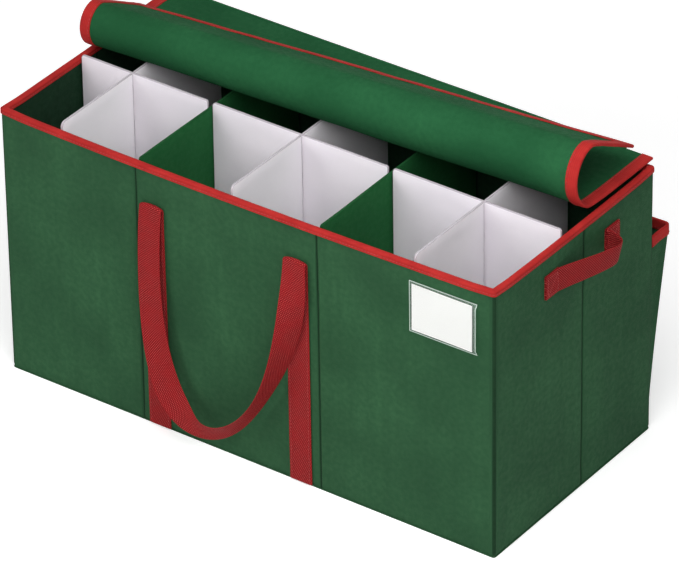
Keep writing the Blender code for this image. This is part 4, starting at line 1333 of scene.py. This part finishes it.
# Where the camera looks, how far it stands, and the small rise of the picture's centre over its target
CAMERA_ANGLES = [math.radians(angle) for angle in (36.10, 32.96, -0.86)]
CAMERA_TARGET, CAMERA_DISTANCE, CAMERA_RISE = Vector((0.0219, -0.006, 0.1501)), 7.06, 0.0028
right_axis, up_axis, back_axis = camera_basis(*CAMERA_ANGLES)
lens = bpy.data.cameras.new("camera")
lens.sensor_width = SENSOR
lens.lens = FOCAL_PIXELS * SENSOR / IMAGE_WIDTH
lens.clip_end = 100
camera = bpy.data.objects.new("camera", lens)
place = Matrix((right_axis, up_axis, back_axis)).transposed().to_4x4()
place.translation = CAMERA_TARGET + back_axis * CAMERA_DISTANCE + up_axis * CAMERA_RISE
camera.matrix_world = place
bpy.context.scene.collection.objects.link(camera)
bpy.context.scene.camera = camera


def lamp(name, location, target, size, energy):
    data = bpy.data.lights.new(name, "AREA")
    data.size, data.energy = size, energy
    made = bpy.data.objects.new(name, data)
    made.location = location
    made.rotation_euler = (Vector(target) - Vector(location)).to_track_quat("-Z", "Y").to_euler()
    bpy.context.scene.collection.objects.link(made)


lamp("overhead", (0.5, -0.7, 1.5), (0, 0, 0.2), 1.3, 22)
lamp("key", (-1.3, -3.0, 1.6), (0, 0, 0.15), 1.6, 34)
lamp("fill", (2.6, -1.4, 1.9), (0, 0, 0.2), 1.6, 6)


def seen_directly(tree):
    """1 for camera, glossy and transmission rays, and 0 for the light that falls on the box."""
    path = tree.nodes.new("ShaderNodeLightPath")
    value = path.outputs["Is Camera Ray"]
    for name in ("Is Glossy Ray", "Is Transmission Ray"):
        either = tree.nodes.new("ShaderNodeMath")
        either.operation = "MAXIMUM"
        tree.links.new(value, either.inputs[0])
        tree.links.new(path.outputs[name], either.inputs[1])
        value = either.outputs[0]
    return value


def ranged(tree, value, low, high, socket):
    strength = tree.nodes.new("ShaderNodeMapRange")
    strength.inputs["To Min"].default_value = low
    strength.inputs["To Max"].default_value = high
    tree.links.new(value, strength.inputs["Value"])
    tree.links.new(strength.outputs[0], socket)
    return strength


world = bpy.data.worlds.new("studio")
bpy.context.scene.world = world
world.use_nodes = True
sky = world.node_tree.nodes["Background"]
sky.inputs["Color"].default_value = (1, 1, 1, 1)
ranged(world.node_tree, seen_directly(world.node_tree), 0.32, 1.0, sky.inputs["Strength"])

floor_data = bpy.data.meshes.new("floor")
FLOOR_HALF, FLOOR_Z = 6.0, -0.0004
corners = ((-1, -1), (1, -1), (1, 1), (-1, 1))
floor_data.from_pydata([(x * FLOOR_HALF, y * FLOOR_HALF, FLOOR_Z) for x, y in corners], [], [(0, 1, 2, 3)])
floor_finish = bpy.data.materials.new("floor")
floor_finish.use_nodes = True
floor_shader = floor_finish.node_tree.nodes["Principled BSDF"]
floor_shader.inputs["Base Color"].default_value = (0.9, 0.9, 0.9, 1)
floor_shader.inputs["Roughness"].default_value = 0.9
floor_shader.inputs["Specular IOR Level"].default_value = 0.1
floor_shader.inputs["Emission Color"].default_value = (1, 1, 1, 1)
floor_tree = floor_finish.node_tree
glow = ranged(floor_tree, seen_directly(floor_tree), 0.0, 0.42, floor_shader.inputs["Emission Strength"])
# Away from the box the lamps reach the floor less, so its glow makes up for them.
place = floor_tree.nodes.new("ShaderNodeTexCoord")
distance = floor_tree.nodes.new("ShaderNodeVectorMath")
distance.operation = "LENGTH"
floor_tree.links.new(place.outputs["Object"], distance.inputs[0])
rise = ranged(floor_tree, distance.outputs["Value"], 0.42, 0.76, glow.inputs["To Max"])
rise.inputs["From Min"].default_value = 0.7
rise.inputs["From Max"].default_value = 2.6
floor_data.materials.append(floor_finish)
floor = bpy.data.objects.new("floor", floor_data)
bpy.context.scene.collection.objects.link(floor)
bpy.context.scene.view_settings.view_transform = "Standard"
